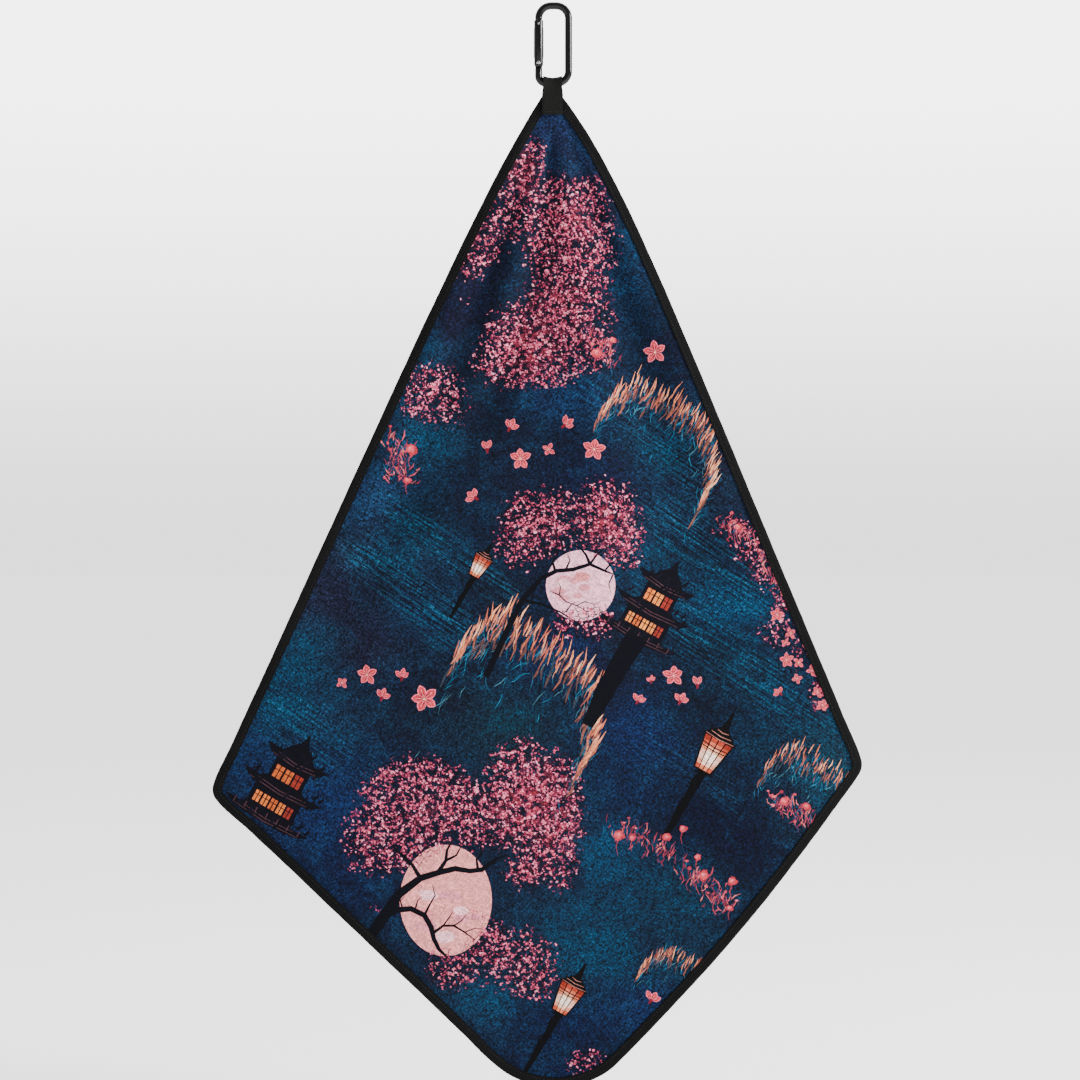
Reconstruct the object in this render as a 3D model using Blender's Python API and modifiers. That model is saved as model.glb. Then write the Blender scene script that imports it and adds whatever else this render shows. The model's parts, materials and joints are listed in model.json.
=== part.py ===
"""A golf towel that hangs by one corner from a small spring-gate carabiner.

The printed microfibre cloth is bound all round with a folded tape.  A webbing loop is sewn over
its top corner and turns on the bottom bar of the carabiner.

Frame: metres, +Z up, the towel's face looks along -Y.  The origin is the seat inside the top bow
of the carabiner, where it hangs on a ring, and the loop hangs in the plane X = 0.
"""

import math

import bpy
import bmesh
from mathutils import Vector

MM = 0.001

# --- clearances ---------------------------------------------------------------------------
TOUCH_GAP = 0.3 * MM          # between pieces that rest on or turn in each other
LAYER_GAP = 0.25 * MM         # between sewn layers

# --- carabiner ----------------------------------------------------------------------------
WIRE_DIAMETER = 5.6 * MM
EYE_HEIGHT = 52.5 * MM        # from the seat in the top bow down to the bottom bar
GATE_SIDE_X = -10.4 * MM      # axis of the gate
SPINE_SIDE_X = 12.0 * MM      # axis of the back of the carabiner
TOP_BEND = 9.5 * MM           # bend radii, on the axis of the wire
SPINE_FOOT_BEND = 9.0 * MM
GATE_FOOT_BEND = 5.5 * MM
NOSE_STRAIGHT = 0.7 * MM      # straight wire between the top bend and the nose
HEEL_STRAIGHT = 5.0 * MM      # and between the foot bend and the heel
BEND_STEP = math.radians(15)
WIRE_SIDES = 4                # bevel resolution of round wire

# --- gate ---------------------------------------------------------------------------------
GATE_DIAMETER = 7.6 * MM
HINGE_PIN_DIAMETER = 2.4 * MM
TONGUE_THICKNESS = 2.6 * MM   # flats on the ends of the wire, which enter the gate's slots
HEEL_STEP = 0.2 * MM          # from the wire's surface in to the heel's sides
NOSE_STEP = 0.5 * MM          # and in to the nose's sides
NOSE_GAP = 0.8 * MM           # between the closed gate and the wire's end
HEEL_GAP = 0.6 * MM           # between the gate's round foot and the wire's shoulder
LATCH_PIN_DIAMETER = 1.6 * MM
LATCH_PIN_SETBACK = 2.8 * MM  # from the end of the gate
LATCH_LIP = 1.25 * MM         # hook under the latch pin
LATCH_DIP = 0.2 * MM          # room for the pin's fall as it swings out of its notch
TONGUE_ROOT = 1.0 * MM        # the tongues run this far into the wire
CAM_RISE = 2.0 * MM           # plunger travel for each radian that the gate turns
CAM_ANGLE = math.radians(40)  # the cam reaches past the gate's 26 degrees of travel
CAM_STEPS = 8
CAM_CORNER = 0.5 * MM         # between the end of the cam and the heel's side
GATE_CHAMFER = 0.6 * MM
GATE_STEPS = 20               # sides of the turned pieces
PIN_STEPS = 16
PIN_DOME = 0.3 * MM           # on the ends of the hinge pin
LATCH_PIN_DOME = 0.1 * MM
HINGE_SLOT_DEPTH = 4.4 * MM   # above the hinge pin
BORE_DIAMETER = 3.4 * MM      # for the plunger and its spring
BORE_END_WALL = 3.0 * MM      # between the bore and the nose slot

# --- plunger and spring -------------------------------------------------------------------
PLUNGER_LENGTH = 4.0 * MM     # straight part, above the ball end
PLUNGER_RIM = 0.3 * MM
SPRING_WIRE_DIAMETER = 0.4 * MM
SPRING_TURNS = 7
SPRING_POINTS_PER_TURN = 10

# --- towel --------------------------------------------------------------------------------
# corners of the outline before they are rounded: out to the side, and down from the bar's axis
LEFT_REACH = 260.0 * MM
LEFT_DROP = 534.2 * MM
RIGHT_REACH = 235.2 * MM
RIGHT_DROP = 513.6 * MM
BOTTOM_OFFSET = 7.9 * MM
BOTTOM_DROP = 785.1 * MM
CORNER_GAP = 1.9 * MM         # between the bar and the bound top corner
TOP_INNER_ROUND = 0.9 * MM    # radii of the corners inside the binding
LEFT_INNER_ROUND = 4.4 * MM
BOTTOM_INNER_ROUND = 61.4 * MM
RIGHT_INNER_ROUND = 6.4 * MM
UPPER_LEFT_FLARE = 6.0 * MM   # how far the upper edges spread from the gathered corner
UPPER_RIGHT_FLARE = 10.5 * MM
LOWER_LEFT_BOW = -2.5 * MM    # the lower edges run a little hollow on the left, full on the right
LOWER_RIGHT_BOW = 6.0 * MM
CLOTH_THICKNESS = 1.0 * MM
BINDING_WIDTH = 7.6 * MM
BINDING_THICKNESS = 0.6 * MM
CLOTH_INSET = 1.35 * MM       # of the cloth's raw edge inside the fold of the binding
SEAM_MARGIN = 2.0 * MM        # between the seam and the binding's inner edge
THREAD_DIAMETER = 0.4 * MM

# --- folds in the cloth -------------------------------------------------------------------
FLAT_MARGIN = 2.8 * MM        # the cloth stays flat this far past the loop
FOLD_LEAD = 12.0 * MM         # the folds fan out from this far above the corner
FOLD_HEIGHT = 0.046           # height of a fold for its distance below the corner
FOLD_REACH = 300.0 * MM       # distance at which the folds have mostly died away
BELLY = 12.0 * MM             # how far the side corners lie behind the middle
HALF_SPAN = 240.0 * MM
WAVE_HEIGHT = 5.0 * MM        # slow waves in the free lower half
WAVE_LENGTH = 310.0 * MM
WAVE_SLANT = 0.35             # sideways run of a wave for each metre down
WAVE_START = 180.0 * MM       # below the corner
WAVE_FULL = 520.0 * MM
# centre, half width and height of each fold, across the fan, and how far it leans lower down
FOLDS = (
    (-0.43, 0.07, 0.5, 0.00),
    (-0.31, 0.08, -0.7, -0.06),
    (-0.17, 0.07, 0.9, -0.10),
    (-0.03, 0.07, -1.0, -0.24),
    (0.13, 0.09, 0.9, -0.02),
    (0.29, 0.08, -0.6, 0.00),
    (0.42, 0.08, 0.5, 0.00),
)
LEAN_LENGTH = 285.0 * MM
LEAN_POWER = 1.6

# --- webbing loop -------------------------------------------------------------------------
WEBBING_WIDTH = 15.8 * MM
WEBBING_SIDE_GAP = 0.5 * MM    # beside the webbing where it is gathered inside the carabiner
WEBBING_THICKNESS = 1.1 * MM
LOOP_COVER = 19.2 * MM         # length of the loop's ends over the towel's corner
NECK_COVER = 5.0 * MM          # below the corner's top, where the ends come together
WEBBING_COLUMNS = 8
EYE_STEPS = 18
TACK_MARGIN = 2.2 * MM         # of the stitching from the edges of the webbing
TACK_COVER = 6.5 * MM          # below the corner's top

# --- sampling -----------------------------------------------------------------------------
CORNER_SPACING = 5.0 * MM     # between points of the outline at the gathered corner
EDGE_SPACING = 32.0 * MM      # and far from it
SPACING_GROWTH = 0.125
RING_COUNT = 10
RING_POWER = 1.25
COLLECTION_NAME = "golf_towel"

# --- worked out from the sizes above ------------------------------------------------------
WIRE_RADIUS = WIRE_DIAMETER / 2
GATE_RADIUS = GATE_DIAMETER / 2
TOP_AXIS_Z = WIRE_RADIUS
BAR_AXIS_Z = -EYE_HEIGHT - WIRE_RADIUS
NOSE_Z = TOP_AXIS_Z - TOP_BEND - NOSE_STRAIGHT
HEEL_Z = BAR_AXIS_Z + GATE_FOOT_BEND + HEEL_STRAIGHT
GATE_TOP_Z = NOSE_Z - NOSE_GAP
HINGE_Z = HEEL_Z + HEEL_GAP + GATE_RADIUS
GATE_REACH = GATE_TOP_Z - HINGE_Z
LATCH_PIN_Z = GATE_TOP_Z - LATCH_PIN_SETBACK
HEEL_HALF_WIDTH = WIRE_RADIUS - HEEL_STEP
NOSE_HALF_WIDTH = WIRE_RADIUS - NOSE_STEP
SLOT_WIDTH = TONGUE_THICKNESS + 2 * TOUCH_GAP
PLUNGER_RADIUS = BORE_DIAMETER / 2 - TOUCH_GAP
BALL_HEIGHT = HEEL_HALF_WIDTH + TOUCH_GAP + PLUNGER_RADIUS

CORNER_TOP_Z = BAR_AXIS_Z - WIRE_RADIUS - CORNER_GAP
LEFT_VERTEX = Vector((-LEFT_REACH, BAR_AXIS_Z - LEFT_DROP))
RIGHT_VERTEX = Vector((RIGHT_REACH, BAR_AXIS_Z - RIGHT_DROP))
BOTTOM_VERTEX = Vector((BOTTOM_OFFSET, BAR_AXIS_Z - BOTTOM_DROP))
TOP_ROUND = TOP_INNER_ROUND + BINDING_WIDTH
CORNER_TOP = Vector((0.0, CORNER_TOP_Z))
TOP_HALF_ANGLE = (LEFT_VERTEX - CORNER_TOP).angle(RIGHT_VERTEX - CORNER_TOP) / 2
TOP_VERTEX = CORNER_TOP + Vector((0.0, TOP_ROUND * (1 / math.sin(TOP_HALF_ANGLE) - 1)))
HUB = (TOP_VERTEX + LEFT_VERTEX + BOTTOM_VERTEX + RIGHT_VERTEX) / 4

BINDING_OFFSET = CLOTH_THICKNESS / 2 + TOUCH_GAP + BINDING_THICKNESS / 2
BINDING_FACE = BINDING_OFFSET + BINDING_THICKNESS / 2
THREAD_OFFSET = BINDING_FACE + LAYER_GAP + THREAD_DIAMETER / 2
TAIL_OFFSET = THREAD_OFFSET + THREAD_DIAMETER / 2 + LAYER_GAP + WEBBING_THICKNESS / 2
TACK_OFFSET = TAIL_OFFSET + WEBBING_THICKNESS / 2 + LAYER_GAP + THREAD_DIAMETER / 2

FLAT_LENGTH = LOOP_COVER + FLAT_MARGIN
EYE_HALF_WIDTH = -GATE_SIDE_X - WIRE_RADIUS - WEBBING_SIDE_GAP
LOOP_END_Z = CORNER_TOP_Z - LOOP_COVER
NECK_Z = CORNER_TOP_Z - NECK_COVER


# --- scene helpers ------------------------------------------------------------------------
def clear_scene():
    for obj in list(bpy.data.objects):
        bpy.data.objects.remove(obj, do_unlink=True)


def new_collection(name):
    collection = bpy.data.collections.new(name)
    bpy.context.scene.collection.children.link(collection)
    return collection


def new_material(name, color, roughness, metallic=0.0):
    material = bpy.data.materials.new(name)
    material.use_nodes = True
    shader = material.node_tree.nodes["Principled BSDF"]
    shader.inputs["Base Color"].default_value = (*color, 1.0)
    shader.inputs["Roughness"].default_value = roughness
    shader.inputs["Metallic"].default_value = metallic
    return material


def add_object(name, data, collection, material=None, location=(0, 0, 0), parent=None):
    obj = bpy.data.objects.new(name, data)
    collection.objects.link(obj)
    obj.location = location
    obj.parent = parent
    if material is not None:
        obj.data.materials.append(material)
    return obj


def add_empty(name, collection, location, parent=None):
    empty = bpy.data.objects.new(name, None)
    collection.objects.link(empty)
    empty.location = location
    empty.parent = parent
    empty.empty_display_size = 5 * MM
    return empty


def mesh_from(name, points, faces, smooth_angle=None):
    mesh = bpy.data.meshes.new(name)
    mesh.from_pydata(points, [], faces)
    work = bmesh.new()
    work.from_mesh(mesh)
    bmesh.ops.recalc_face_normals(work, faces=work.faces)
    work.to_mesh(mesh)
    work.free()
    if smooth_angle is not None:
        mesh.shade_smooth()
        mesh.set_sharp_from_angle(angle=smooth_angle)
    return mesh


def wire_curve(name, points, radius, resolution, cyclic=False):
    """A round wire along points, as a curve with a bevel."""
    curve = bpy.data.curves.new(name, "CURVE")
    curve.dimensions = "3D"
    curve.bevel_depth = radius
    curve.bevel_resolution = resolution
    curve.use_fill_caps = True
    spline = curve.splines.new("POLY")
    spline.points.add(len(points) - 1)
    for spline_point, point in zip(spline.points, points):
        spline_point.co = (*point, 1.0)
    spline.use_cyclic_u = cyclic
    return curve


def plate_curve(name, outline, thickness):
    """A flat plate with the given outline in its own XY plane, as a filled curve."""
    curve = bpy.data.curves.new(name, "CURVE")
    curve.dimensions = "2D"
    curve.fill_mode = "BOTH"
    curve.extrude = thickness / 2
    spline = curve.splines.new("POLY")
    spline.points.add(len(outline) - 1)
    for spline_point, (x, y) in zip(spline.points, outline):
        spline_point.co = (x, y, 0.0, 1.0)
    spline.use_cyclic_u = True
    return curve


def curve_to_mesh(obj, collection):
    """Replace a curve object by the same shape as a welded mesh."""
    bpy.context.view_layer.update()
    evaluated = obj.evaluated_get(bpy.context.evaluated_depsgraph_get())
    mesh = bpy.data.meshes.new_from_object(evaluated)
    mesh.name = obj.name
    work = bmesh.new()
    work.from_mesh(mesh)
    bmesh.ops.remove_doubles(work, verts=work.verts, dist=0.001 * MM)
    bmesh.ops.recalc_face_normals(work, faces=work.faces)
    work.to_mesh(mesh)
    work.free()
    name = obj.name
    parent = obj.parent
    matrix = obj.matrix_world.copy()
    bpy.data.objects.remove(obj, do_unlink=True)
    solid = bpy.data.objects.new(name, mesh)
    collection.objects.link(solid)
    solid.parent = parent
    bpy.context.view_layer.update()
    solid.matrix_world = matrix
    return solid


def box(name, low, high, cutters):
    mesh = bpy.data.meshes.new(name)
    work = bmesh.new()
    bmesh.ops.create_cube(work, size=1.0)
    size = Vector(high) - Vector(low)
    centre = (Vector(high) + Vector(low)) / 2
    for vert in work.verts:
        vert.co = Vector(vert.co[i] * size[i] + centre[i] for i in range(3))
    work.to_mesh(mesh)
    work.free()
    return as_cutter(add_object(name, mesh, cutters))


def rod(name, radius, length, centre, cutters, along_y=True, segments=20):
    """A round cutter, along Y or along Z."""
    mesh = bpy.data.meshes.new(name)
    work = bmesh.new()
    bmesh.ops.create_cone(work, cap_ends=True, segments=segments, radius1=radius, radius2=radius,
                          depth=length)
    work.to_mesh(mesh)
    work.free()
    obj = as_cutter(add_object(name, mesh, cutters, location=centre))
    if along_y:
        obj.rotation_euler = (math.pi / 2, 0, 0)
    return obj


def as_cutter(obj):
    obj.hide_render = True
    obj.display_type = "WIRE"
    return obj


def add_boolean(obj, other, operation):
    modifier = obj.modifiers.new(f"{operation.lower()}_{other.name}", "BOOLEAN")
    modifier.operation = operation
    modifier.solver = "EXACT"
    modifier.object = other


def turned(name, profile, collection, material, location, parent, steps, along_y=False):
    """A round piece from a profile of (radius, height) points that runs down its outer side."""
    points = [(radius, 0.0, height) for radius, height in profile]
    edges = [(i, i + 1) for i in range(len(points) - 1)]
    mesh = bpy.data.meshes.new(name)
    mesh.from_pydata(points, edges, [])
    obj = add_object(name, mesh, collection, material, location, parent)
    screw = obj.modifiers.new("turn", "SCREW")
    screw.steps = steps
    screw.render_steps = steps
    screw.use_merge_vertices = True
    screw.merge_threshold = 0.001 * MM
    if along_y:
        obj.rotation_euler = (math.pi / 2, 0, 0)
    return obj


def arc(centre_x, centre_z, radius, start, end, step=BEND_STEP):
    count = max(1, round(abs(end - start) / step))
    angles = [start + (end - start) * i / count for i in range(count + 1)]
    return [(centre_x + radius * math.cos(a), centre_z + radius * math.sin(a)) for a in angles]


# --- carabiner ----------------------------------------------------------------------------
def wire_axis():
    """Axis of the bent wire, from the nose over the top, down the back and up to the heel."""
    quarter = math.pi / 2
    path = [(GATE_SIDE_X, NOSE_Z)]
    path += arc(GATE_SIDE_X + TOP_BEND, TOP_AXIS_Z - TOP_BEND, TOP_BEND, 2 * quarter, quarter)
    path += arc(SPINE_SIDE_X - TOP_BEND, TOP_AXIS_Z - TOP_BEND, TOP_BEND, quarter, 0)
    bend = SPINE_FOOT_BEND
    path += arc(SPINE_SIDE_X - bend, BAR_AXIS_Z + bend, bend, 0, -quarter)
    bend = GATE_FOOT_BEND
    path += arc(GATE_SIDE_X + bend, BAR_AXIS_Z + bend, bend, -quarter, -2 * quarter)
    path.append((GATE_SIDE_X, HEEL_Z))
    return [(x, 0.0, z) for x, z in path]


def cam_outline():
    """Heel tongue around the hinge pin, whose cam lifts the plunger as the gate opens."""
    root = -GATE_RADIUS - HEEL_GAP - TONGUE_ROOT
    outline = [(-HEEL_HALF_WIDTH, root)]
    outline += arc(0, 0, HEEL_HALF_WIDTH, math.pi, math.pi / 2 + BEND_STEP)
    reach = PLUNGER_RADIUS + TOUCH_GAP
    for i in range(CAM_STEPS + 1):
        turn = CAM_ANGLE * i / CAM_STEPS
        height = BALL_HEIGHT + CAM_RISE * turn
        centre = Vector((height * math.sin(turn), height * math.cos(turn)))
        tangent = Vector((CAM_RISE * math.sin(turn) + height * math.cos(turn),
                          CAM_RISE * math.cos(turn) - height * math.sin(turn))).normalized()
        outline.append(tuple(centre + reach * Vector((tangent.y, -tangent.x))))
    outline = [(min(x, HEEL_HALF_WIDTH), z) for x, z in outline]
    outline.append((HEEL_HALF_WIDTH, outline[-1][1] - CAM_CORNER))
    outline.append((HEEL_HALF_WIDTH, root))
    return outline


def upright_plate(name, outline, thickness, location, cutters):
    """A plate that stands in the XZ plane."""
    curve = plate_curve(name, outline, thickness)
    obj = add_object(name, curve, cutters, location=location)
    obj.rotation_euler = (math.pi / 2, 0, 0)
    return as_cutter(curve_to_mesh(obj, cutters))


def build_carabiner_frame(parts, cutters, material, parent):
    curve = wire_curve("carabiner_frame", wire_axis(), WIRE_RADIUS, WIRE_SIDES)
    frame = curve_to_mesh(add_object("carabiner_frame", curve, parts), parts)
    frame.data.materials.append(material)
    frame.parent = parent

    heel = upright_plate("heel_tongue", cam_outline(), TONGUE_THICKNESS, (GATE_SIDE_X, 0, HINGE_Z), cutters)
    add_boolean(frame, heel, "UNION")

    pin_room = LATCH_PIN_DIAMETER / 2 + TOUCH_GAP
    lip_z = LATCH_PIN_Z - pin_room - LATCH_DIP
    nose_low = (GATE_SIDE_X - NOSE_HALF_WIDTH, -TONGUE_THICKNESS / 2, lip_z - LATCH_LIP)
    nose_high = (GATE_SIDE_X + NOSE_HALF_WIDTH, TONGUE_THICKNESS / 2, NOSE_Z + TONGUE_ROOT)
    add_boolean(frame, box("nose_tongue", nose_low, nose_high, cutters), "UNION")

    notch_low = (GATE_SIDE_X - pin_room, -TONGUE_THICKNESS, lip_z)
    notch_high = (GATE_SIDE_X + GATE_RADIUS, TONGUE_THICKNESS, LATCH_PIN_Z + pin_room)
    add_boolean(frame, box("latch_notch", notch_low, notch_high, cutters), "DIFFERENCE")

    hole = rod("heel_hole", HINGE_PIN_DIAMETER / 2 + TOUCH_GAP, 2 * TONGUE_THICKNESS,
               (GATE_SIDE_X, 0, HINGE_Z), cutters)
    add_boolean(frame, hole, "DIFFERENCE")
    frame.data.shade_smooth()
    frame.data.set_sharp_from_angle(angle=math.radians(40))
    return frame


def round_foot_profile(radius, height, rim, steps):
    """Profile of a rod with a chamfered top and a round foot centred on the origin."""
    profile = [(0.0, height), (radius - rim, height), (radius, height - rim)]
    for i in range(steps):
        turn = math.pi / 2 * i / steps
        profile.append((radius * math.cos(turn), -radius * math.sin(turn)))
    return profile + [(0.0, -radius)]


def build_gate(parts, cutters, material, hinge):
    """The gate: a round bar, slotted at both ends and bored for its spring, on the hinge's empty."""
    profile = round_foot_profile(GATE_RADIUS, GATE_REACH, GATE_CHAMFER, steps=6)
    gate = turned("gate", profile, parts, material, (0, 0, 0), hinge, GATE_STEPS)

    half_slot = SLOT_WIDTH / 2
    nose_slot_z = LATCH_PIN_Z - LATCH_PIN_DIAMETER / 2 - LATCH_LIP - 4 * TOUCH_GAP
    far = GATE_DIAMETER
    add_boolean(gate, box("nose_slot", (GATE_SIDE_X - far, -half_slot, nose_slot_z),
                          (GATE_SIDE_X + far, half_slot, GATE_TOP_Z + far), cutters), "DIFFERENCE")
    add_boolean(gate, box("hinge_slot", (GATE_SIDE_X - far, -half_slot, HINGE_Z - far),
                          (GATE_SIDE_X + far, half_slot, HINGE_Z + HINGE_SLOT_DEPTH), cutters), "DIFFERENCE")
    bore_top = nose_slot_z - BORE_END_WALL
    bore_length = bore_top - HINGE_Z
    add_boolean(gate, rod("spring_bore", BORE_DIAMETER / 2, bore_length,
                          (GATE_SIDE_X, 0, HINGE_Z + bore_length / 2), cutters, along_y=False), "DIFFERENCE")
    add_boolean(gate, rod("hinge_hole", HINGE_PIN_DIAMETER / 2 + TOUCH_GAP, 2 * far,
                          (GATE_SIDE_X, 0, HINGE_Z), cutters), "DIFFERENCE")
    add_boolean(gate, rod("latch_hole", LATCH_PIN_DIAMETER / 2 + TOUCH_GAP, 2 * far,
                          (GATE_SIDE_X, 0, LATCH_PIN_Z), cutters, segments=16), "DIFFERENCE")
    return gate, bore_top


def pin_profile(radius, half_length, dome):
    """Profile of a pin with slightly domed ends."""
    return [
        (0.0, half_length + dome),
        (radius * 0.6, half_length + dome * 0.7),
        (radius, half_length),
        (radius, -half_length),
        (radius * 0.6, -half_length - dome * 0.7),
        (0.0, -half_length - dome),
    ]


def build_plunger(parts, material, slide):
    """Round plunger with a ball end that rides on the heel's cam; its empty is the ball's centre."""
    profile = round_foot_profile(PLUNGER_RADIUS, PLUNGER_LENGTH, PLUNGER_RIM, steps=4)
    return turned("gate_plunger", profile, parts, material, (0, 0, 0), slide, PIN_STEPS)


def build_spring(parts, material, bore_top):
    radius = PLUNGER_RADIUS - SPRING_WIRE_DIAMETER / 2 - LAYER_GAP / 2
    low = HINGE_Z + BALL_HEIGHT + PLUNGER_LENGTH + TOUCH_GAP + SPRING_WIRE_DIAMETER / 2
    high = bore_top - TOUCH_GAP - SPRING_WIRE_DIAMETER / 2
    count = SPRING_TURNS * SPRING_POINTS_PER_TURN
    points = []
    for i in range(count + 1):
        turn = 2 * math.pi * i / SPRING_POINTS_PER_TURN
        height = low + (high - low) * i / count
        points.append((GATE_SIDE_X + radius * math.cos(turn), radius * math.sin(turn), height))
    curve = wire_curve("gate_spring", points, SPRING_WIRE_DIAMETER / 2, 2)
    return add_object("gate_spring", curve, parts, material)


# --- outline of the towel -----------------------------------------------------------------
def gather_flare(t):
    """Rises quickly beside the gathered corner and dies away along the edge."""
    return 1.5 * (1 - t) * (1 - (1 - t) ** 8)


def even_bow(t):
    return math.sin(math.pi * t)


def corner_arc(before, vertex, after, radius):
    """Start angle, end angle and centre of the arc that rounds a corner, and its tangent length."""
    back = (before - vertex).normalized()
    ahead = (after - vertex).normalized()
    half = back.angle(ahead) / 2
    centre = vertex + (back + ahead).normalized() * radius / math.sin(half)
    return centre, back, ahead, radius / math.tan(half)


def spacing_at(point):
    distance = (point - TOP_VERTEX).length
    return min(EDGE_SPACING, CORNER_SPACING + SPACING_GROWTH * distance)


def outer_outline():
    """Points of the towel's outer edge, from the top down the left side and round."""
    vertices = (TOP_VERTEX, LEFT_VERTEX, BOTTOM_VERTEX, RIGHT_VERTEX)
    inner_rounds = (TOP_INNER_ROUND, LEFT_INNER_ROUND, BOTTOM_INNER_ROUND, RIGHT_INNER_ROUND)
    rounds = [inner + BINDING_WIDTH for inner in inner_rounds]
    arc_steps = (6, 4, 8, 4)
    bows = (
        lambda t: UPPER_LEFT_FLARE * gather_flare(t),
        lambda t: LOWER_LEFT_BOW * even_bow(t),
        lambda t: LOWER_RIGHT_BOW * even_bow(t),
        lambda t: UPPER_RIGHT_FLARE * gather_flare(1 - t),
    )
    points = []
    for i, vertex in enumerate(vertices):
        before = vertices[i - 1]
        after = vertices[(i + 1) % 4]
        centre, back, ahead, tangent = corner_arc(before, vertex, after, rounds[i])
        first = vertex + back * tangent - centre
        sweep = math.pi - back.angle(ahead)
        for step in range(arc_steps[i] + 1):
            angle = sweep * step / arc_steps[i]
            turned_point = Vector((first.x * math.cos(angle) - first.y * math.sin(angle),
                                   first.x * math.sin(angle) + first.y * math.cos(angle)))
            points.append(centre + turned_point)
        next_tangent = corner_arc(vertex, after, vertices[(i + 2) % 4], rounds[(i + 1) % 4])[3]
        points += edge_points(vertex + ahead * tangent, after - ahead * next_tangent, bows[i])
    return points


def edge_points(start, end, bow):
    """Points strictly between the ends of an edge, closer together near the gathered corner."""
    length = (end - start).length
    ahead = (end - start) / length
    outward = Vector((ahead.y, -ahead.x))
    if outward.dot((start + end) / 2 - HUB) < 0:
        outward = -outward
    marks = [0.0]
    while marks[-1] < length:
        marks.append(marks[-1] + spacing_at(start + ahead * marks[-1]))
    stretch = length / marks[-1]
    inner = [mark * stretch for mark in marks[1:-1]]
    return [start + ahead * mark + outward * bow(mark / length) for mark in inner]


def inset(points, distance):
    """The outline moved inwards, square to the edge."""
    moved = []
    count = len(points)
    for i, point in enumerate(points):
        before = (point - points[i - 1]).normalized()
        after = (points[(i + 1) % count] - point).normalized()
        along = (before + after).normalized()
        inward = Vector((-along.y, along.x))
        moved.append(point + inward * distance)
    return moved


# --- drape of the cloth -------------------------------------------------------------------
def smoothstep(low, high, value):
    t = min(1.0, max(0.0, (value - low) / (high - low)))
    return t * t * (3 - 2 * t)


def depth_at(point):
    """Y of the middle of the cloth at (x, z): folds that fan out from the corner, and a belly."""
    x, z = point
    below = max(0.0, CORNER_TOP_Z - z)
    fan = x / (below + FOLD_LEAD)
    lean = (below / LEAN_LENGTH) ** LEAN_POWER
    height = FOLD_HEIGHT * below * math.exp(-(below / FOLD_REACH) ** 2)
    height *= smoothstep(FLAT_LENGTH, 2.5 * FLAT_LENGTH, below)
    folds = 0.0
    for centre, half_width, rise, drift in FOLDS:
        folds += rise * math.exp(-((fan - centre - drift * lean) / half_width) ** 2)
    belly = BELLY * (x / HALF_SPAN) ** 2
    phase = 2 * math.pi * (x + WAVE_SLANT * below) / WAVE_LENGTH
    wave = WAVE_HEIGHT * math.sin(phase) * smoothstep(WAVE_START, WAVE_FULL, below)
    return belly - height * folds - wave


def on_cloth(point):
    return Vector((point[0], depth_at(point), point[1]))


def cloth_normal(point):
    """Unit normal of the cloth, towards the viewer's side (-Y)."""
    step = 0.5 * MM
    x, z = point
    slope_x = (depth_at((x + step, z)) - depth_at((x - step, z))) / (2 * step)
    slope_z = (depth_at((x, z + step)) - depth_at((x, z - step))) / (2 * step)
    return Vector((slope_x, -1.0, slope_z)).normalized()


def ring_faces(ring_count, size, closed=True, crossed=()):
    """Triangles between successive rings; strips in crossed take the other diagonal."""
    faces = []
    last = size if closed else size - 1
    for ring in range(ring_count - 1):
        for i in range(last):
            a = ring * size + i
            b = ring * size + (i + 1) % size
            if ring in crossed:
                faces += [(a, b, a + size), (b, b + size, a + size)]
            else:
                faces += [(a, b, b + size), (a, b + size, a + size)]
    return faces


def add_solidify(obj, thickness):
    solidify = obj.modifiers.new("thickness", "SOLIDIFY")
    solidify.thickness = thickness
    solidify.offset = 0.0
    solidify.use_even_offset = True


def build_cloth(parts, material, parent, outline):
    rings = [inset(outline, CLOTH_INSET), inset(outline, BINDING_WIDTH)]
    for j in range(1, RING_COUNT):
        share = (j / RING_COUNT) ** RING_POWER
        rings.append([point.lerp(HUB, share) for point in rings[1]])
    points = [on_cloth(point) for ring in rings for point in ring]
    points.append(on_cloth(HUB))
    size = len(outline)
    faces = ring_faces(len(rings), size)
    start = (len(rings) - 1) * size
    faces += [(start + i, start + (i + 1) % size, len(points) - 1) for i in range(size)]
    mesh = mesh_from("towel_cloth", points, faces, math.radians(60))
    cloth = add_object("towel_cloth", mesh, parts, material, parent=parent)
    add_solidify(cloth, CLOTH_THICKNESS)
    return cloth


def offset_ring(points, distance):
    return [on_cloth(point) + cloth_normal(point) * distance for point in points]


def build_binding(parts, material, parent, outline):
    """Tape folded over the edge: front leg, fold and back leg, as one strip round the towel.

    Both legs share the diagonals of the cloth's outermost strip, so that they lie flat on it.
    """
    legs = inset(outline, BINDING_WIDTH)
    shoulders = inset(outline, CLOTH_INSET - TOUCH_GAP)
    fold = inset(outline, BINDING_THICKNESS / 2)
    rings = [
        offset_ring(legs, BINDING_OFFSET),
        offset_ring(shoulders, BINDING_OFFSET),
        offset_ring(fold, 0.0),
        offset_ring(shoulders, -BINDING_OFFSET),
        offset_ring(legs, -BINDING_OFFSET),
    ]
    points = [point for ring in rings for point in ring]
    faces = ring_faces(len(rings), len(outline), crossed=(0,))
    mesh = mesh_from("edge_binding", points, faces, math.radians(60))
    binding = add_object("edge_binding", mesh, parts, material, parent=parent)
    add_solidify(binding, BINDING_THICKNESS)
    return binding


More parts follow.
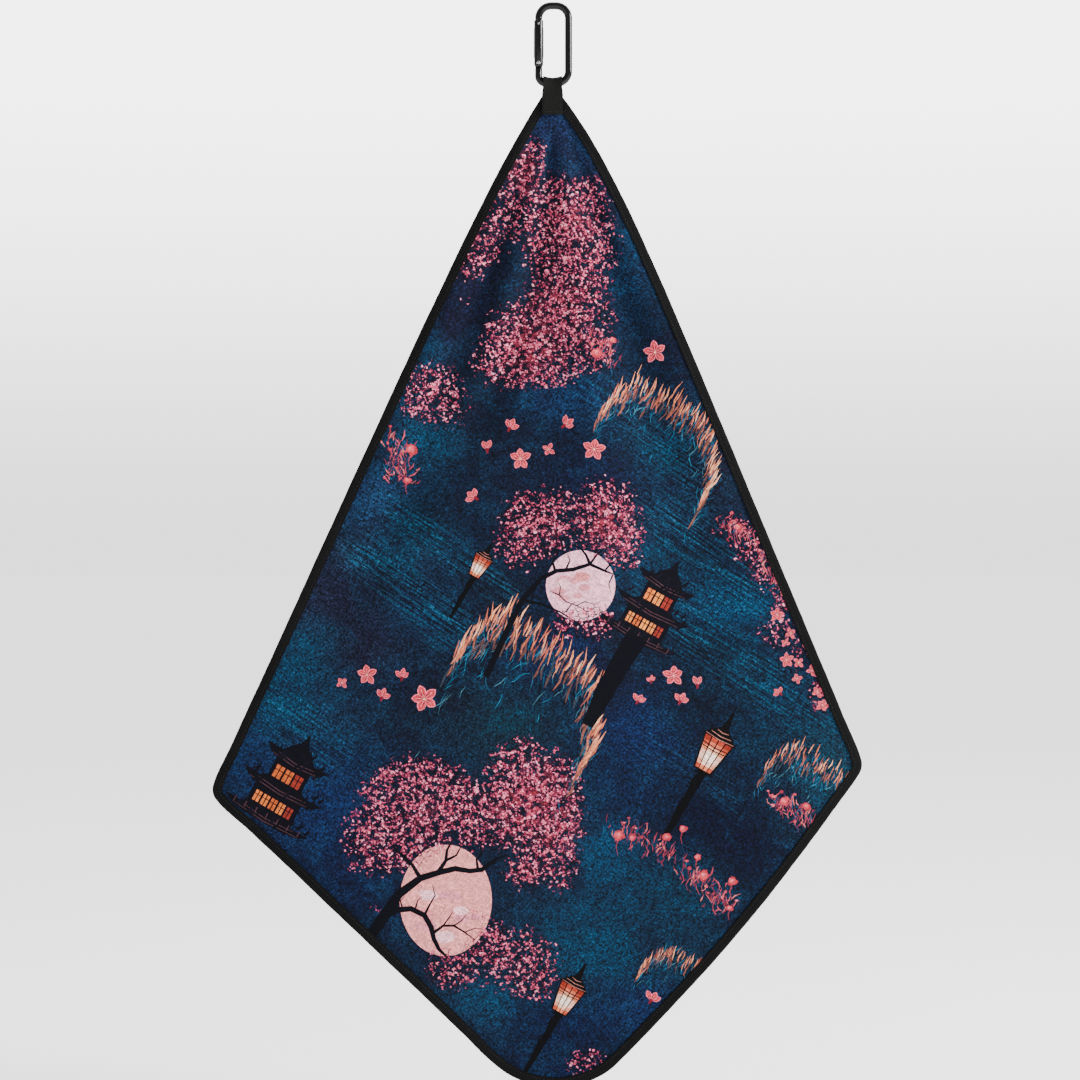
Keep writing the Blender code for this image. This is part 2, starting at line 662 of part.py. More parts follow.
def build_seam_thread(name, side, parts, material, parent, outline):
    """Seam thread laid on one face of the binding; side is +1 for the front, -1 for the back."""
    legs = offset_ring(inset(outline, BINDING_WIDTH), side * THREAD_OFFSET)
    shoulders = offset_ring(inset(outline, CLOTH_INSET - TOUCH_GAP), side * THREAD_OFFSET)
    share = SEAM_MARGIN / (BINDING_WIDTH - CLOTH_INSET + TOUCH_GAP)
    points = [leg.lerp(shoulder, share) for leg, shoulder in zip(legs, shoulders)]
    curve = wire_curve(name, points, THREAD_DIAMETER / 2, 0, cyclic=True)
    return add_object(name, curve, parts, material, parent=parent)


# --- webbing loop -------------------------------------------------------------------------
def wire_height_over_bar(x):
    """How far the wire's inner surface stands above the bar's axis at x, bends included."""
    left_end = GATE_SIDE_X + GATE_FOOT_BEND
    right_end = SPINE_SIDE_X - SPINE_FOOT_BEND
    if x < left_end:
        beyond, bend = left_end - x, GATE_FOOT_BEND
    elif x > right_end:
        beyond, bend = x - right_end, SPINE_FOOT_BEND
    else:
        return WIRE_RADIUS
    inner = bend - WIRE_RADIUS
    return bend - math.sqrt(max(0.0, inner ** 2 - beyond ** 2))


def eye_radius(x):
    """Radius of the middle of the webbing round the bar: snug in the middle, fuller at its edges."""
    edge = max(wire_height_over_bar(-EYE_HALF_WIDTH), wire_height_over_bar(EYE_HALF_WIDTH))
    wire = WIRE_RADIUS + (edge - WIRE_RADIUS) * (x / EYE_HALF_WIDTH) ** 2
    return wire + TOUCH_GAP + WEBBING_THICKNESS / 2


def loop_section(share):
    """Side profile (y, z, width share) of the loop at a share of its half width, -1 to 1.

    The webbing is gathered round the bar and opens to its full width at the neck, so that it
    passes between the sides of the carabiner as the towel swings.
    """
    radius = eye_radius(share * EYE_HALF_WIDTH)
    neck = Vector((TAIL_OFFSET, NECK_Z))
    down = neck - Vector((0.0, BAR_AXIS_Z))
    touch = math.atan2(down.x, -down.y) + math.acos(radius / down.length)
    touch_point = Vector((radius * math.sin(touch), BAR_AXIS_Z - radius * math.cos(touch)))
    middle = neck.lerp(touch_point, 0.5)
    tail = [
        (TAIL_OFFSET, LOOP_END_Z, 1.0),
        (TAIL_OFFSET, (LOOP_END_Z + NECK_Z) / 2, 1.0),
        (TAIL_OFFSET, NECK_Z, 1.0),
        (middle.x, middle.y, 0.5),
    ]
    eye = []
    for i in range(EYE_STEPS + 1):
        angle = touch + (2 * math.pi - 2 * touch) * i / EYE_STEPS
        eye.append((radius * math.sin(angle), BAR_AXIS_Z - radius * math.cos(angle), 0.0))
    return tail + eye + [(-y, z, width) for y, z, width in reversed(tail)]


def build_loop(parts, material, parent):
    rings = []
    for column in range(WEBBING_COLUMNS + 1):
        share = 2 * column / WEBBING_COLUMNS - 1
        ring = []
        for y, z, width in loop_section(share):
            half = EYE_HALF_WIDTH + (WEBBING_WIDTH / 2 - EYE_HALF_WIDTH) * width
            ring.append((share * half, -y, z))
        rings.append(ring)
    points = [point for ring in rings for point in ring]
    faces = ring_faces(len(rings), len(rings[0]), closed=False)
    mesh = mesh_from("hanging_loop", points, faces, math.radians(60))
    loop = add_object("hanging_loop", mesh, parts, material, parent=parent)
    add_solidify(loop, WEBBING_THICKNESS)
    return loop


def build_tack(name, side, parts, material, parent):
    """Box of stitching that holds the loop; side is +1 for the front, -1 for the back."""
    half = WEBBING_WIDTH / 2 - TACK_MARGIN
    low = LOOP_END_Z + TACK_MARGIN
    high = CORNER_TOP_Z - TACK_COVER
    y = -side * TACK_OFFSET
    points = [(-half, y, low), (half, y, low), (half, y, high), (-half, y, high)]
    curve = wire_curve(name, points, THREAD_DIAMETER / 2, 2, cyclic=True)
    return add_object(name, curve, parts, material, parent=parent)


# --- assembly -----------------------------------------------------------------------------
def build():
    clear_scene()
    parts = new_collection(COLLECTION_NAME)
    cutters = new_collection("cutters")
    black_enamel = new_material("black_enamel", (0.012, 0.012, 0.013), 0.22, 0.6)
    gate_enamel = new_material("gate_enamel", (0.014, 0.014, 0.015), 0.25, 0.6)
    steel = new_material("pin_steel", (0.55, 0.55, 0.57), 0.3, 1.0)
    spring_steel = new_material("spring_steel", (0.42, 0.42, 0.44), 0.35, 1.0)
    brass = new_material("plunger_brass", (0.75, 0.58, 0.32), 0.35, 1.0)
    microfibre = new_material("printed_microfibre", (0.02, 0.07, 0.13), 0.95)
    tape = new_material("binding_tape", (0.008, 0.008, 0.009), 0.8)
    webbing = new_material("webbing", (0.014, 0.014, 0.013), 0.75)
    thread = new_material("sewing_thread", (0.01, 0.01, 0.01), 0.6)

    carabiner = add_empty("carabiner_root", parts, (0, 0, 0))
    hinge = add_empty("gate_hinge_axis", parts, (GATE_SIDE_X, 0, HINGE_Z), carabiner)
    slide = add_empty("plunger_axis", parts, (0, 0, BALL_HEIGHT), hinge)
    swing = add_empty("towel_swing_axis", parts, (0, 0, BAR_AXIS_Z))
    bpy.context.view_layer.update()

    build_carabiner_frame(parts, cutters, black_enamel, carabiner)
    _gate, bore_top = build_gate(parts, cutters, gate_enamel, hinge)
    turned("gate_hinge_pin", pin_profile(HINGE_PIN_DIAMETER / 2, GATE_RADIUS, PIN_DOME), parts, steel,
           (GATE_SIDE_X, 0, HINGE_Z), carabiner, PIN_STEPS, along_y=True)
    latch_half = GATE_RADIUS - 2 * LATCH_PIN_DOME
    turned("gate_latch_pin", pin_profile(LATCH_PIN_DIAMETER / 2, latch_half, LATCH_PIN_DOME), parts, steel,
           (0, 0, GATE_REACH - LATCH_PIN_SETBACK), hinge, PIN_STEPS, along_y=True)
    build_plunger(parts, brass, slide)
    build_spring(parts, spring_steel, bore_top)

    outline = outer_outline()
    towel_parts = [
        build_cloth(parts, microfibre, None, outline),
        build_binding(parts, tape, None, outline),
        build_seam_thread("binding_needle_thread", 1, parts, thread, None, outline),
        build_seam_thread("binding_bobbin_thread", -1, parts, thread, None, outline),
        build_loop(parts, webbing, None),
        build_tack("loop_tack_front", 1, parts, thread, None),
        build_tack("loop_tack_back", -1, parts, thread, None),
    ]
    for obj in towel_parts:
        obj.parent = swing
        obj.matrix_parent_inverse = swing.matrix_world.inverted()


build()
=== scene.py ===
"""Looks of a golf towel that hangs by one corner from a small spring-gate carabiner.

Metres, +Z up.  The printed face looks along -Y and the origin is the seat in the carabiner's top bow.
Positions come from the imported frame; the sizes given here are those that the frame doesn't state.
"""

import json
import logging
import math
import random
from dataclasses import dataclass
from enum import Enum
from typing import Iterable, Optional, Sequence, Union

import bmesh
import bpy
import numpy as np
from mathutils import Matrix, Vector
from mathutils.geometry import delaunay_2d_cdt


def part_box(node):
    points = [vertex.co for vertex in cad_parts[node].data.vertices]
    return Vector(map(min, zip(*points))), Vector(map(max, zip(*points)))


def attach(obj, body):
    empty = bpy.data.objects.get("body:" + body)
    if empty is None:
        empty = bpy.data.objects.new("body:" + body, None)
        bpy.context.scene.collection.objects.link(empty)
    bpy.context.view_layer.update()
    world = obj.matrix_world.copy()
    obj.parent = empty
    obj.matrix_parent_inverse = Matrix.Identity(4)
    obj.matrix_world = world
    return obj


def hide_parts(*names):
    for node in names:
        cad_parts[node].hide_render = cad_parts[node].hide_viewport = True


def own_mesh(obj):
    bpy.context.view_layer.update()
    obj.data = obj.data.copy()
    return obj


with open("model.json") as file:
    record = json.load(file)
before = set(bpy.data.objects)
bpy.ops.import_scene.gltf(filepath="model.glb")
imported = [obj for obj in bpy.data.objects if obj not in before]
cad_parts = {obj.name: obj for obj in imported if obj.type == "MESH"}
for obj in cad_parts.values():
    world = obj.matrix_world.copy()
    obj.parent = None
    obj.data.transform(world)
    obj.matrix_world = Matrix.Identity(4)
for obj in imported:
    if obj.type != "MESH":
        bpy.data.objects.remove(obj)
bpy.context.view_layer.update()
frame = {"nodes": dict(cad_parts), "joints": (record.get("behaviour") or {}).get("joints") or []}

MM = 0.001
LOG = logging.getLogger("golf_towel")
PIVOTS = {joint["name"]: Vector(joint["pos_m"]) for joint in frame["joints"] if "pos_m" in joint}

Point = tuple[float, float]
Colour = tuple[float, float, float, float]
Table = tuple[tuple, ...]
Array = np.ndarray
Piece = bpy.types.Object
Material = bpy.types.Material
Socket = bpy.types.NodeSocket


def dye(code: str) -> Colour:
    """Linear colour of a hexadecimal sRGB code such as 1c3952."""
    shares = [int(code[i:i + 2], 16) / 255 for i in (0, 2, 4)]
    red, green, blue = (s / 12.92 if s <= 0.04045 else ((s + 0.055) / 1.055) ** 2.4 for s in shares)
    return (red, green, blue, 1.0)


def smoothstep(low: float, high: float, value: Array) -> Array:
    """0 below low, 1 above high, and smooth between."""
    t = np.clip((value - low) / (high - low), 0.0, 1.0)
    return t * t * (3 - 2 * t)


# --- shader trees ---
class Signal:
    """One output in a shader tree; arithmetic on it adds Math nodes."""

    def __init__(self, maker: "NodeMaker", socket: Socket) -> None:
        """Wrap a node's output socket."""
        self.maker = maker
        self.socket = socket

    def _math(self, operation: str, first: "Term", second: "Term" = 0.0, clamp: bool = False) -> "Signal":
        """Add one Math node."""
        settings = {"operation": operation, "use_clamp": clamp}
        return self.maker.node("ShaderNodeMath", settings, {0: first, 1: second})

    def __add__(self, other: "Term") -> "Signal":
        """Sum."""
        return self._math("ADD", self, other)

    def __sub__(self, other: "Term") -> "Signal":
        """Difference."""
        return self._math("SUBTRACT", self, other)

    def __rsub__(self, other: "Term") -> "Signal":
        """Difference from a number."""
        return self._math("SUBTRACT", other, self)

    def __mul__(self, other: "Term") -> "Signal":
        """Product."""
        return self._math("MULTIPLY", self, other)

    def __truediv__(self, other: "Term") -> "Signal":
        """Quotient."""
        return self._math("DIVIDE", self, other)

    def __pow__(self, exponent: "Term") -> "Signal":
        """Power."""
        return self._math("POWER", self, exponent)

    __radd__ = __add__
    __rmul__ = __mul__

    def wave(self) -> "Signal":
        """Sine of the value."""
        return self._math("SINE", self)

    def size(self) -> "Signal":
        """Absolute value."""
        return self._math("ABSOLUTE", self)

    def or_more(self, other: "Term") -> "Signal":
        """The larger of the two."""
        return self._math("MAXIMUM", self, other)

    def above(self, edge: "Term", blur: float = 0.05) -> "Signal":
        """0 where the value is under the edge and 1 over it, with a ramp as wide as blur."""
        return self._math("ADD", (self - edge) / blur, 0.5, clamp=True)

    def also(self, name: str) -> "Signal":
        """Another output of the same node."""
        return Signal(self.maker, self.socket.node.outputs[name])


Term = Union[Signal, float, Sequence[float]]


class NodeMaker:
    """Adds nodes to a tree."""

    def __init__(self, tree: bpy.types.NodeTree) -> None:
        """Keep the tree."""
        self.tree = tree

    def node(self, kind: str, settings: Optional[dict] = None, inputs: Optional[dict] = None,
             output: Union[int, str] = 0) -> Signal:
        """Add any node.

        Args:
            kind: the node's type.
            settings: its properties, set first; "stops" gives a ramp's (position, colour) pairs.
            inputs: values or signals by the socket's name or index.
            output: which output is wanted.

        Returns:
            The wanted output.
        """
        made = self.tree.nodes.new(kind)
        for name, value in (settings or {}).items():
            if name == "stops":
                stops = made.color_ramp.elements
                while len(stops) < len(value):
                    stops.new(0.5)
                for stop, (position, colour) in zip(stops, value):
                    stop.position = position
                    stop.color = colour
            else:
                setattr(made, name, value)
        for key, value in (inputs or {}).items():
            self.feed(made.inputs[key], value)
        return Signal(self, made.outputs[output])

    def feed(self, socket: Socket, value: Term) -> None:
        """Link a signal to a socket, or set the socket's own value."""
        if isinstance(value, Signal):
            self.tree.links.new(value.socket, socket)
        else:
            socket.default_value = value


class Recipe(NodeMaker):
    """Builds the node tree of one material."""

    def __init__(self, name: str) -> None:
        """Start a material with its Principled shader."""
        self.material = bpy.data.materials.new(name)
        self.material.use_nodes = True
        super().__init__(self.material.node_tree)
        self.shader = self.tree.nodes["Principled BSDF"]

    def place(self) -> Signal:
        """Object coordinates."""
        return self.node("ShaderNodeTexCoord", output="Object")

    def layout(self, uv_map: str) -> Signal:
        """Coordinates of a piece's own UV map."""
        return self.node("ShaderNodeUVMap", {"uv_map": uv_map})

    def grained(self, vector: Signal, length: Sequence[float], turn: float = 0.0) -> Signal:
        """Coordinates turned about Z, then measured in the given lengths."""
        inputs = {"Vector": vector, "Rotation": (0.0, 0.0, turn), "Scale": tuple(length)}
        return self.node("ShaderNodeMapping", {"vector_type": "TEXTURE"}, inputs)

    def noise(self, vector: Signal, grain: float = 1.0, detail: float = 2.0, roughness: float = 0.5,
              twist: float = 0.0) -> Signal:
        """Soft noise from 0 to 1, with grains of the given size."""
        inputs = {"Vector": vector, "Scale": 1 / grain, "Detail": detail, "Roughness": roughness,
                  "Distortion": twist}
        return self.node("ShaderNodeTexNoise", {}, inputs)

    def cells(self, vector: Signal, feature: str = "F1", cell: float = 1.0) -> Signal:
        """Distance to the nearest of scattered points, whose Color is random for each, or to a border."""
        return self.node("ShaderNodeTexVoronoi", {"voronoi_dimensions": "2D", "feature": feature},
                         {"Vector": vector, "Scale": 1 / cell})

    def moved(self, vector: Signal, grain: float, reach: float, detail: float) -> Signal:
        """Coordinates shaken by a noise."""
        shake = self.lit(self.noise(vector, grain, detail).also("Color"), reach)
        return self.node("ShaderNodeVectorMath", {"operation": "ADD"}, {0: vector, 1: shake})

    def stain(self, colour: Signal, code: str, share: Term) -> Signal:
        """The colour, turned to a dye where share is 1."""
        return self.mix(share, colour, dye(code))

    def part(self, colour: Signal, channel: str) -> Signal:
        """One channel, Red, Green or Blue, of a colour; or X, Y or Z of a vector."""
        kind = "ShaderNodeSeparateColor" if len(channel) > 1 else "ShaderNodeSeparateXYZ"
        return self.node(kind, {}, {0: colour}, channel)

    def mix(self, share: Term, first: Term, second: Term, blend: str = "MIX") -> Signal:
        """First colour where share is 0 and second where it is 1."""
        settings = {"data_type": "RGBA", "blend_type": blend}
        return self.node("ShaderNodeMix", settings, {0: share, 6: first, 7: second}, 2)

    def lit(self, colour: Term, amount: Signal) -> Signal:
        """The colour made darker or lighter by a number."""
        return self.node("ShaderNodeVectorMath", {"operation": "SCALE"}, {0: colour, "Scale": amount})

    def ramp(self, value: Signal, stops: Sequence[tuple[float, Colour]]) -> Signal:
        """Colour picked from the stops."""
        return self.node("ShaderNodeValToRGB", {"stops": stops}, {0: value})

    def attribute(self, name: str, output: str = "Color") -> Signal:
        """A mesh attribute."""
        return self.node("ShaderNodeAttribute", {"attribute_name": name}, output=output)

    def relief(self, height: Signal, depth: float, strength: float = 1.0) -> Signal:
        """Bump for a height from 0 to 1 that stands depth metres high."""
        return self.node("ShaderNodeBump", {}, {"Height": height, "Distance": depth, "Strength": strength})

    def finish(self, **sockets: Term) -> Material:
        """Feed the shader's sockets, named with _ for a space, and return the material."""
        for name, value in sockets.items():
            self.feed(self.shader.inputs[name.replace("_", " ")], value)
        return self.material


# --- finishes ---
@dataclass(frozen=True)
class PrintedMicrofibre:
    """Short-napped microfibre: ground washes, brush streaks, blossom flecks, line work and nap."""

    nap_length: float = 3.0 * MM
    nap_width: float = 1.25 * MM
    nap_grain: float = 1.45 * MM
    streak_length: float = 40.0 * MM
    streak_width: float = 1.7 * MM
    streak_turn: float = math.radians(-33)
    ink_depth: float = 1.5        # the inks are printed deeper than they are drawn
    ink_strength: float = 0.98
    twig_cell: float = 4.6 * MM
    fleck_turns: tuple[float, ...] = (0.6, -0.9, 1.9, 0.1)
    fleck_sizes: tuple[float, ...] = (2.3 * MM, 1.9 * MM, 1.5 * MM, 1.2 * MM)
    petals: Table = ((0.0, "4a2440"), (0.24, "88365a"), (0.5, "b84e70"), (0.74, "d46e8a"), (0.92, "e696ac"),
                     (1.0, "f0b6c6"))

    def nap(self, recipe: Recipe, cloth: Signal) -> Signal:
        """Crossed short fibres, 0 to 1."""
        size = (self.nap_length, self.nap_width, 1.0)
        falling = recipe.noise(recipe.grained(cloth, size, 0.9), detail=1.5, twist=0.9)
        rising = recipe.noise(recipe.grained(cloth, size, -0.6), detail=1.5, twist=0.9)
        grain = recipe.noise(cloth, grain=self.nap_grain, detail=1.5, roughness=0.6)
        return falling * 0.34 + rising * 0.30 + grain * 0.36

    def painted(self, recipe: Recipe, cloth: Signal, nap: Signal) -> Signal:
        """Washes, one of them painted shade of a fold valley, with wet-brush mottling, slanted strokes and
        the nap's own speckle.
        """
        # the ground colour holds the print's washes and the painted shade of one fold valley
        ground = recipe.attribute("ground")
        cast = recipe.noise(cloth, grain=20 * MM, detail=4.0, roughness=0.65, twist=0.6)
        ground = recipe.stain(ground, "1f5a74", cast.above(0.60, 0.22) * 0.3)
        ground = recipe.stain(ground, "241f38", (1 - cast.above(0.42, 0.2)) * 0.42)
        size = (self.streak_length, self.streak_width, 1.0)
        strokes = recipe.noise(recipe.grained(cloth, size, self.streak_turn), detail=3.0, roughness=0.65,
                               twist=0.5)
        streaks = recipe.attribute("streaks", "Fac")
        ground = recipe.stain(ground, "2c748c", strokes.above(0.55, 0.12) * streaks * 0.62)
        ground = recipe.stain(ground, "15182c", (1 - strokes.above(0.42, 0.12)) * streaks * 0.6)
        mottle = recipe.noise(cloth, grain=6 * MM, detail=4.0, roughness=0.7) * 0.8 + 0.6
        return recipe.lit(ground, mottle * ((nap - 0.5) * 5.6 + 1.04).or_more(0.3))

    def flecks(self, recipe: Recipe, cloth: Signal, colour: Signal, fill: Signal) -> Signal:
        """Scatter twigs and petals over the colour, as densely as fill says."""
        petal_dyes = [(share, dye(code)) for share, code in self.petals]
        bent = recipe.moved(cloth, 2.2 * MM, 2.0 * MM, detail=1.0)
        twigs = recipe.cells(bent, "DISTANCE_TO_EDGE", self.twig_cell)
        colour = recipe.stain(colour, "17121f", (1 - twigs.above(0.07, 0.05)) * fill.above(0.35, 0.3) * 0.85)
        rough = recipe.noise(cloth, grain=5.0 * MM, detail=3.0, roughness=0.6)
        for size, turn in zip(self.fleck_sizes, self.fleck_turns):
            drifted = recipe.grained(cloth, (size * 1.5, size, 1.0), turn)
            near = recipe.cells(recipe.moved(drifted, 0.625, 1.1, detail=2.0))
            chance = recipe.part(near.also("Color"), "Red")
            kind = recipe.part(near.also("Color"), "Green")
            held = (fill * (rough * 3.0 - 1.08)).above(chance * 0.86 + 0.06, 0.04)
            shape = 1 - near.above(kind * 0.24 + 0.20, 0.08)
            colour = recipe.mix(held * shape, colour, recipe.ramp(kind, petal_dyes))
        return colour

    def material(self) -> Material:
        """The printed face: marks behind the blossom, blossom, and marks in front."""
        recipe = Recipe("printed_microfibre")
        cloth = recipe.layout("cloth")
        nap = self.nap(recipe, cloth)
        behind = recipe.attribute("behind")
        marble = recipe.noise(cloth, grain=5 * MM, detail=4.0, roughness=0.6, twist=1.2)
        pale = recipe.lit(behind, marble * 0.9 + 0.52)
        colour = recipe.mix(behind.also("Alpha"), self.painted(recipe, cloth, nap), pale)
        fill = recipe.attribute("blossom", "Fac")
        dim = recipe.stain(colour, "1b1a30", 0.5)
        colour = recipe.mix(fill * (1 - behind.also("Alpha")), colour, dim)
        blush = recipe.noise(cloth, grain=6.5 * MM, detail=3.0).above(0.53, 0.12)
        colour = recipe.stain(colour, "b4485e", blush * recipe.attribute("blush", "Fac"))
        colour = self.flecks(recipe, cloth, colour, fill)
        front = recipe.attribute("front")
        worn = recipe.noise(cloth, grain=1.6 * MM) * 0.5 + 0.75
        colour = recipe.mix(front.also("Alpha"), colour, recipe.lit(front, worn))
        colour = recipe.node("ShaderNodeGamma", {}, {0: colour, 1: self.ink_depth})
        strength = {"Color": colour, "Saturation": self.ink_strength}
        colour = recipe.node("ShaderNodeHueSaturation", {}, strength)
        colour = recipe.lit(colour, (nap - 0.5) * 3.2 + 1.0)
        return recipe.finish(Base_Color=colour, Roughness=nap * 0.1 + 0.86, Sheen_Weight=0.05,
                             Sheen_Roughness=0.5, Specular_IOR_Level=0.1,
                             Normal=recipe.relief(nap, 0.5 * MM, 0.8))


@dataclass(frozen=True)
class ReverseMicrofibre:
    """Unprinted back of the cloth, a plain deep blue with a fine waffle whose hollows carry painted shade."""

    cell: float = 3.2 * MM

    def material(self) -> Material:
        """The cloth's back."""
        recipe = Recipe("reverse_microfibre")
        cloth = recipe.layout("cloth")
        across = (recipe.part(cloth, "X") * (math.pi / self.cell)).wave().size()
        down = (recipe.part(cloth, "Y") * (math.pi / self.cell)).wave().size()
        ridge = (1 - across).or_more(1 - down)
        nap = recipe.noise(cloth, grain=0.7 * MM)
        # painted shade: the waffle's hollows are coloured darker than its ridges
        colour = recipe.mix(ridge ** 2.0, dye("080d1c"), dye("111c34"))
        cast = recipe.noise(cloth, grain=60 * MM) * 0.3 + 0.85
        colour = recipe.lit(colour, cast * (nap * 0.9 + 0.55))
        return recipe.finish(Base_Color=colour, Roughness=nap * 0.1 + 0.85, Sheen_Weight=0.05,
                             Sheen_Roughness=0.5, Specular_IOR_Level=0.1,
                             Normal=recipe.relief(ridge * 0.7 + nap * 0.3, 0.5 * MM, 0.7))


@dataclass(frozen=True)
class WovenTape:
    """Ribbed woven tape or webbing, whose UV map runs along it and across it in metres."""

    name: str
    colour: str
    rib_pitch: float
    yarn_pitch: float
    dust: float

    def material(self) -> Material:
        """Ribs across the tape, yarns along it, patchy dust and slightly greyer crowns, with painted shade in
        the weave's hollows and painted highlight on its crowns.
        """
        recipe = Recipe(self.name)
        weave = recipe.layout("tape")
        loose = recipe.noise(weave, grain=5 * MM)
        along = recipe.part(weave, "X") + loose * (0.12 * self.rib_pitch)
        across = recipe.part(weave, "Y")
        ribs = (along * (2 * math.pi / self.rib_pitch)).wave() * 0.5 + 0.5
        over = (across * (2 * math.pi / self.yarn_pitch) + along * (math.pi / self.rib_pitch)).wave()
        yarns = over * 0.5 + 0.5
        fuzz = recipe.noise(recipe.place(), grain=0.35 * MM)
        height = ribs * 0.55 + yarns * 0.3 + fuzz * 0.15
        dusty = recipe.noise(recipe.place(), grain=17 * MM, detail=3.0) * self.dust
        colour = recipe.mix(dusty + height * 0.05, dye(self.colour), dye("2a2a2c"))
        # painted shade and highlight: the colour is darker in the weave's hollows and lighter on its crowns
        colour = recipe.lit(colour, height * 0.9 + 0.4)
        return recipe.finish(Base_Color=colour, Roughness=0.95 - height * 0.3,
                             Specular_IOR_Level=0.09, Normal=recipe.relief(height, 0.2 * MM, 0.9))


@dataclass(frozen=True)
class SpunThread:
    """Twisted polyester sewing thread."""

    twist: float = 0.42 * MM

    def material(self) -> Material:
        """Fine slanted strands with a soft gloss, and painted shade in the grooves between them."""
        recipe = Recipe("sewing_thread")
        place = recipe.place()
        sum_of = recipe.part(place, "X") + recipe.part(place, "Z") + recipe.part(place, "Y") * 1.7
        strands = (sum_of * (2 * math.pi / self.twist)).wave() * 0.5 + 0.5
        fuzz = recipe.noise(place, grain=0.3 * MM)
        # painted shade: darker in the grooves between strands and lighter on their crests, mixed with random
        # fuzz
        colour = recipe.mix(strands * 0.6 + fuzz * 0.4, dye("060607"), dye("1b1b1d"))
        return recipe.finish(Base_Color=colour, Roughness=fuzz * 0.25 + 0.42, Specular_IOR_Level=0.16,
                             Normal=recipe.relief(strands, 0.06 * MM, 0.6))


@dataclass(frozen=True)
class GlossEnamel:
    """Black stoved enamel on bent wire: a hard gloss with hairlines, dust and rubbed spots."""

    name: str
    colour: str
    gloss: float

    def material(self) -> Material:
        """Enamel with fine scratches and bare metal where it rubs."""
        recipe = Recipe(self.name)
        place = recipe.place()
        peel = recipe.noise(place, grain=1.6 * MM)
        scuff = recipe.noise(recipe.grained(place, (9 * MM, 0.25 * MM, 0.5 * MM), 0.5), detail=3.0)
        scratch = scuff.above(0.68, 0.05)
        worn = recipe.noise(place, grain=4.5 * MM, detail=5.0, roughness=0.7).above(0.71, 0.03)
        colour = recipe.mix(peel * 0.3, dye(self.colour), dye("101012"))
        colour = recipe.stain(colour, "3c3d40", scratch * 0.2)
        colour = recipe.stain(colour, "55555a", worn * 0.6)
        rough = self.gloss + peel * 0.05 + scratch * 0.14 + worn * 0.12
        return recipe.finish(Base_Color=colour, Metallic=worn * 0.7, Roughness=rough,
                             Specular_IOR_Level=0.22,
                             Normal=recipe.relief(peel - scratch * 0.4, 0.012 * MM, 0.3))


@dataclass(frozen=True)
class TurnedMetal:
    """Bare metal with turning marks and slight tarnish."""

    name: str
    bright: str
    dull: str
    polish: float

    def material(self) -> Material:
        """Turning marks, tarnish and micro pits."""
        recipe = Recipe(self.name)
        place = recipe.place()
        rings = recipe.noise(recipe.grained(place, (4 * MM, 0.12 * MM, 0.12 * MM)), detail=2.0)
        tarnish = recipe.noise(place, grain=1.3 * MM, detail=4.0, roughness=0.65)
        colour = recipe.mix(tarnish, dye(self.bright), dye(self.dull))
        return recipe.finish(Base_Color=colour, Metallic=1.0,
                             Roughness=self.polish + tarnish * 0.22 + rings * 0.08,
                             Normal=recipe.relief(rings, 0.01 * MM, 0.5))


# --- outline and drape ---
def silhouette(node: str) -> Array:
    """Corner points, in order, of a CAD node's outline seen along Y.

    Args:
        node: a node whose outline is one loop round the middle of its box.

    Returns:
        (x, z) rows in metres.
    """
    slack, apart, nothing = 0.03, 0.3, 1e-9     # in millimetres: hidden by less, doubles, no length
    mesh = frame["nodes"][node].data
    flat = np.empty(len(mesh.vertices) * 3)
    mesh.vertices.foreach_get("co", flat)
    flat = flat.reshape(-1, 3)[:, [0, 2]]
    hub = (flat.min(axis=0) + flat.max(axis=0)) / 2
    ends = np.empty(len(mesh.edges) * 2, dtype=np.int32)
    mesh.edges.foreach_get("vertices", ends)
    whole, index = np.unique(np.round((flat - hub) / MM, 3), axis=0, return_inverse=True)
    edges = np.unique(np.sort(index.reshape(-1)[ends].reshape(-1, 2), axis=1), axis=0)
    starts, stops = whole[edges[:, 0]], whole[edges[:, 1]]
    reach = np.hypot(whole[:, 0], whole[:, 1])
    kept = []
    for point, far in zip(whole, reach):
        ray = point / max(far, nothing)
        side_start = ray[0] * starts[:, 1] - ray[1] * starts[:, 0]
        side_stop = ray[0] * stops[:, 1] - ray[1] * stops[:, 0]
        crossing = side_start * side_stop <= 0
        span = side_start - side_stop
        share = np.where(np.abs(span) > nothing, side_start / np.where(span == 0, 1, span), 0.0)
        met = starts + share[:, None] * (stops - starts)
        if far >= (met @ ray)[crossing].max() - slack:
            kept.append(point)
    kept.sort(key=lambda p: math.atan2(p[1], p[0]))
    loop = [kept[0]]
    for point in kept[1:]:
        if np.hypot(*(point - loop[-1])) > apart:
            loop.append(point)
    return np.array(loop) * MM + hub


def even_steps(points: Array, step: float) -> Array:
    """The closed polygon sampled again in even steps of about the given length."""
    closed = np.vstack([points, points[:1]])
    marks = np.concatenate([[0.0], np.cumsum(np.hypot(*np.diff(closed, axis=0).T))])
    count = max(8, round(marks[-1] / step))
    wanted = np.arange(count) * marks[-1] / count
    return np.column_stack([np.interp(wanted, marks, closed[:, i]) for i in (0, 1)])


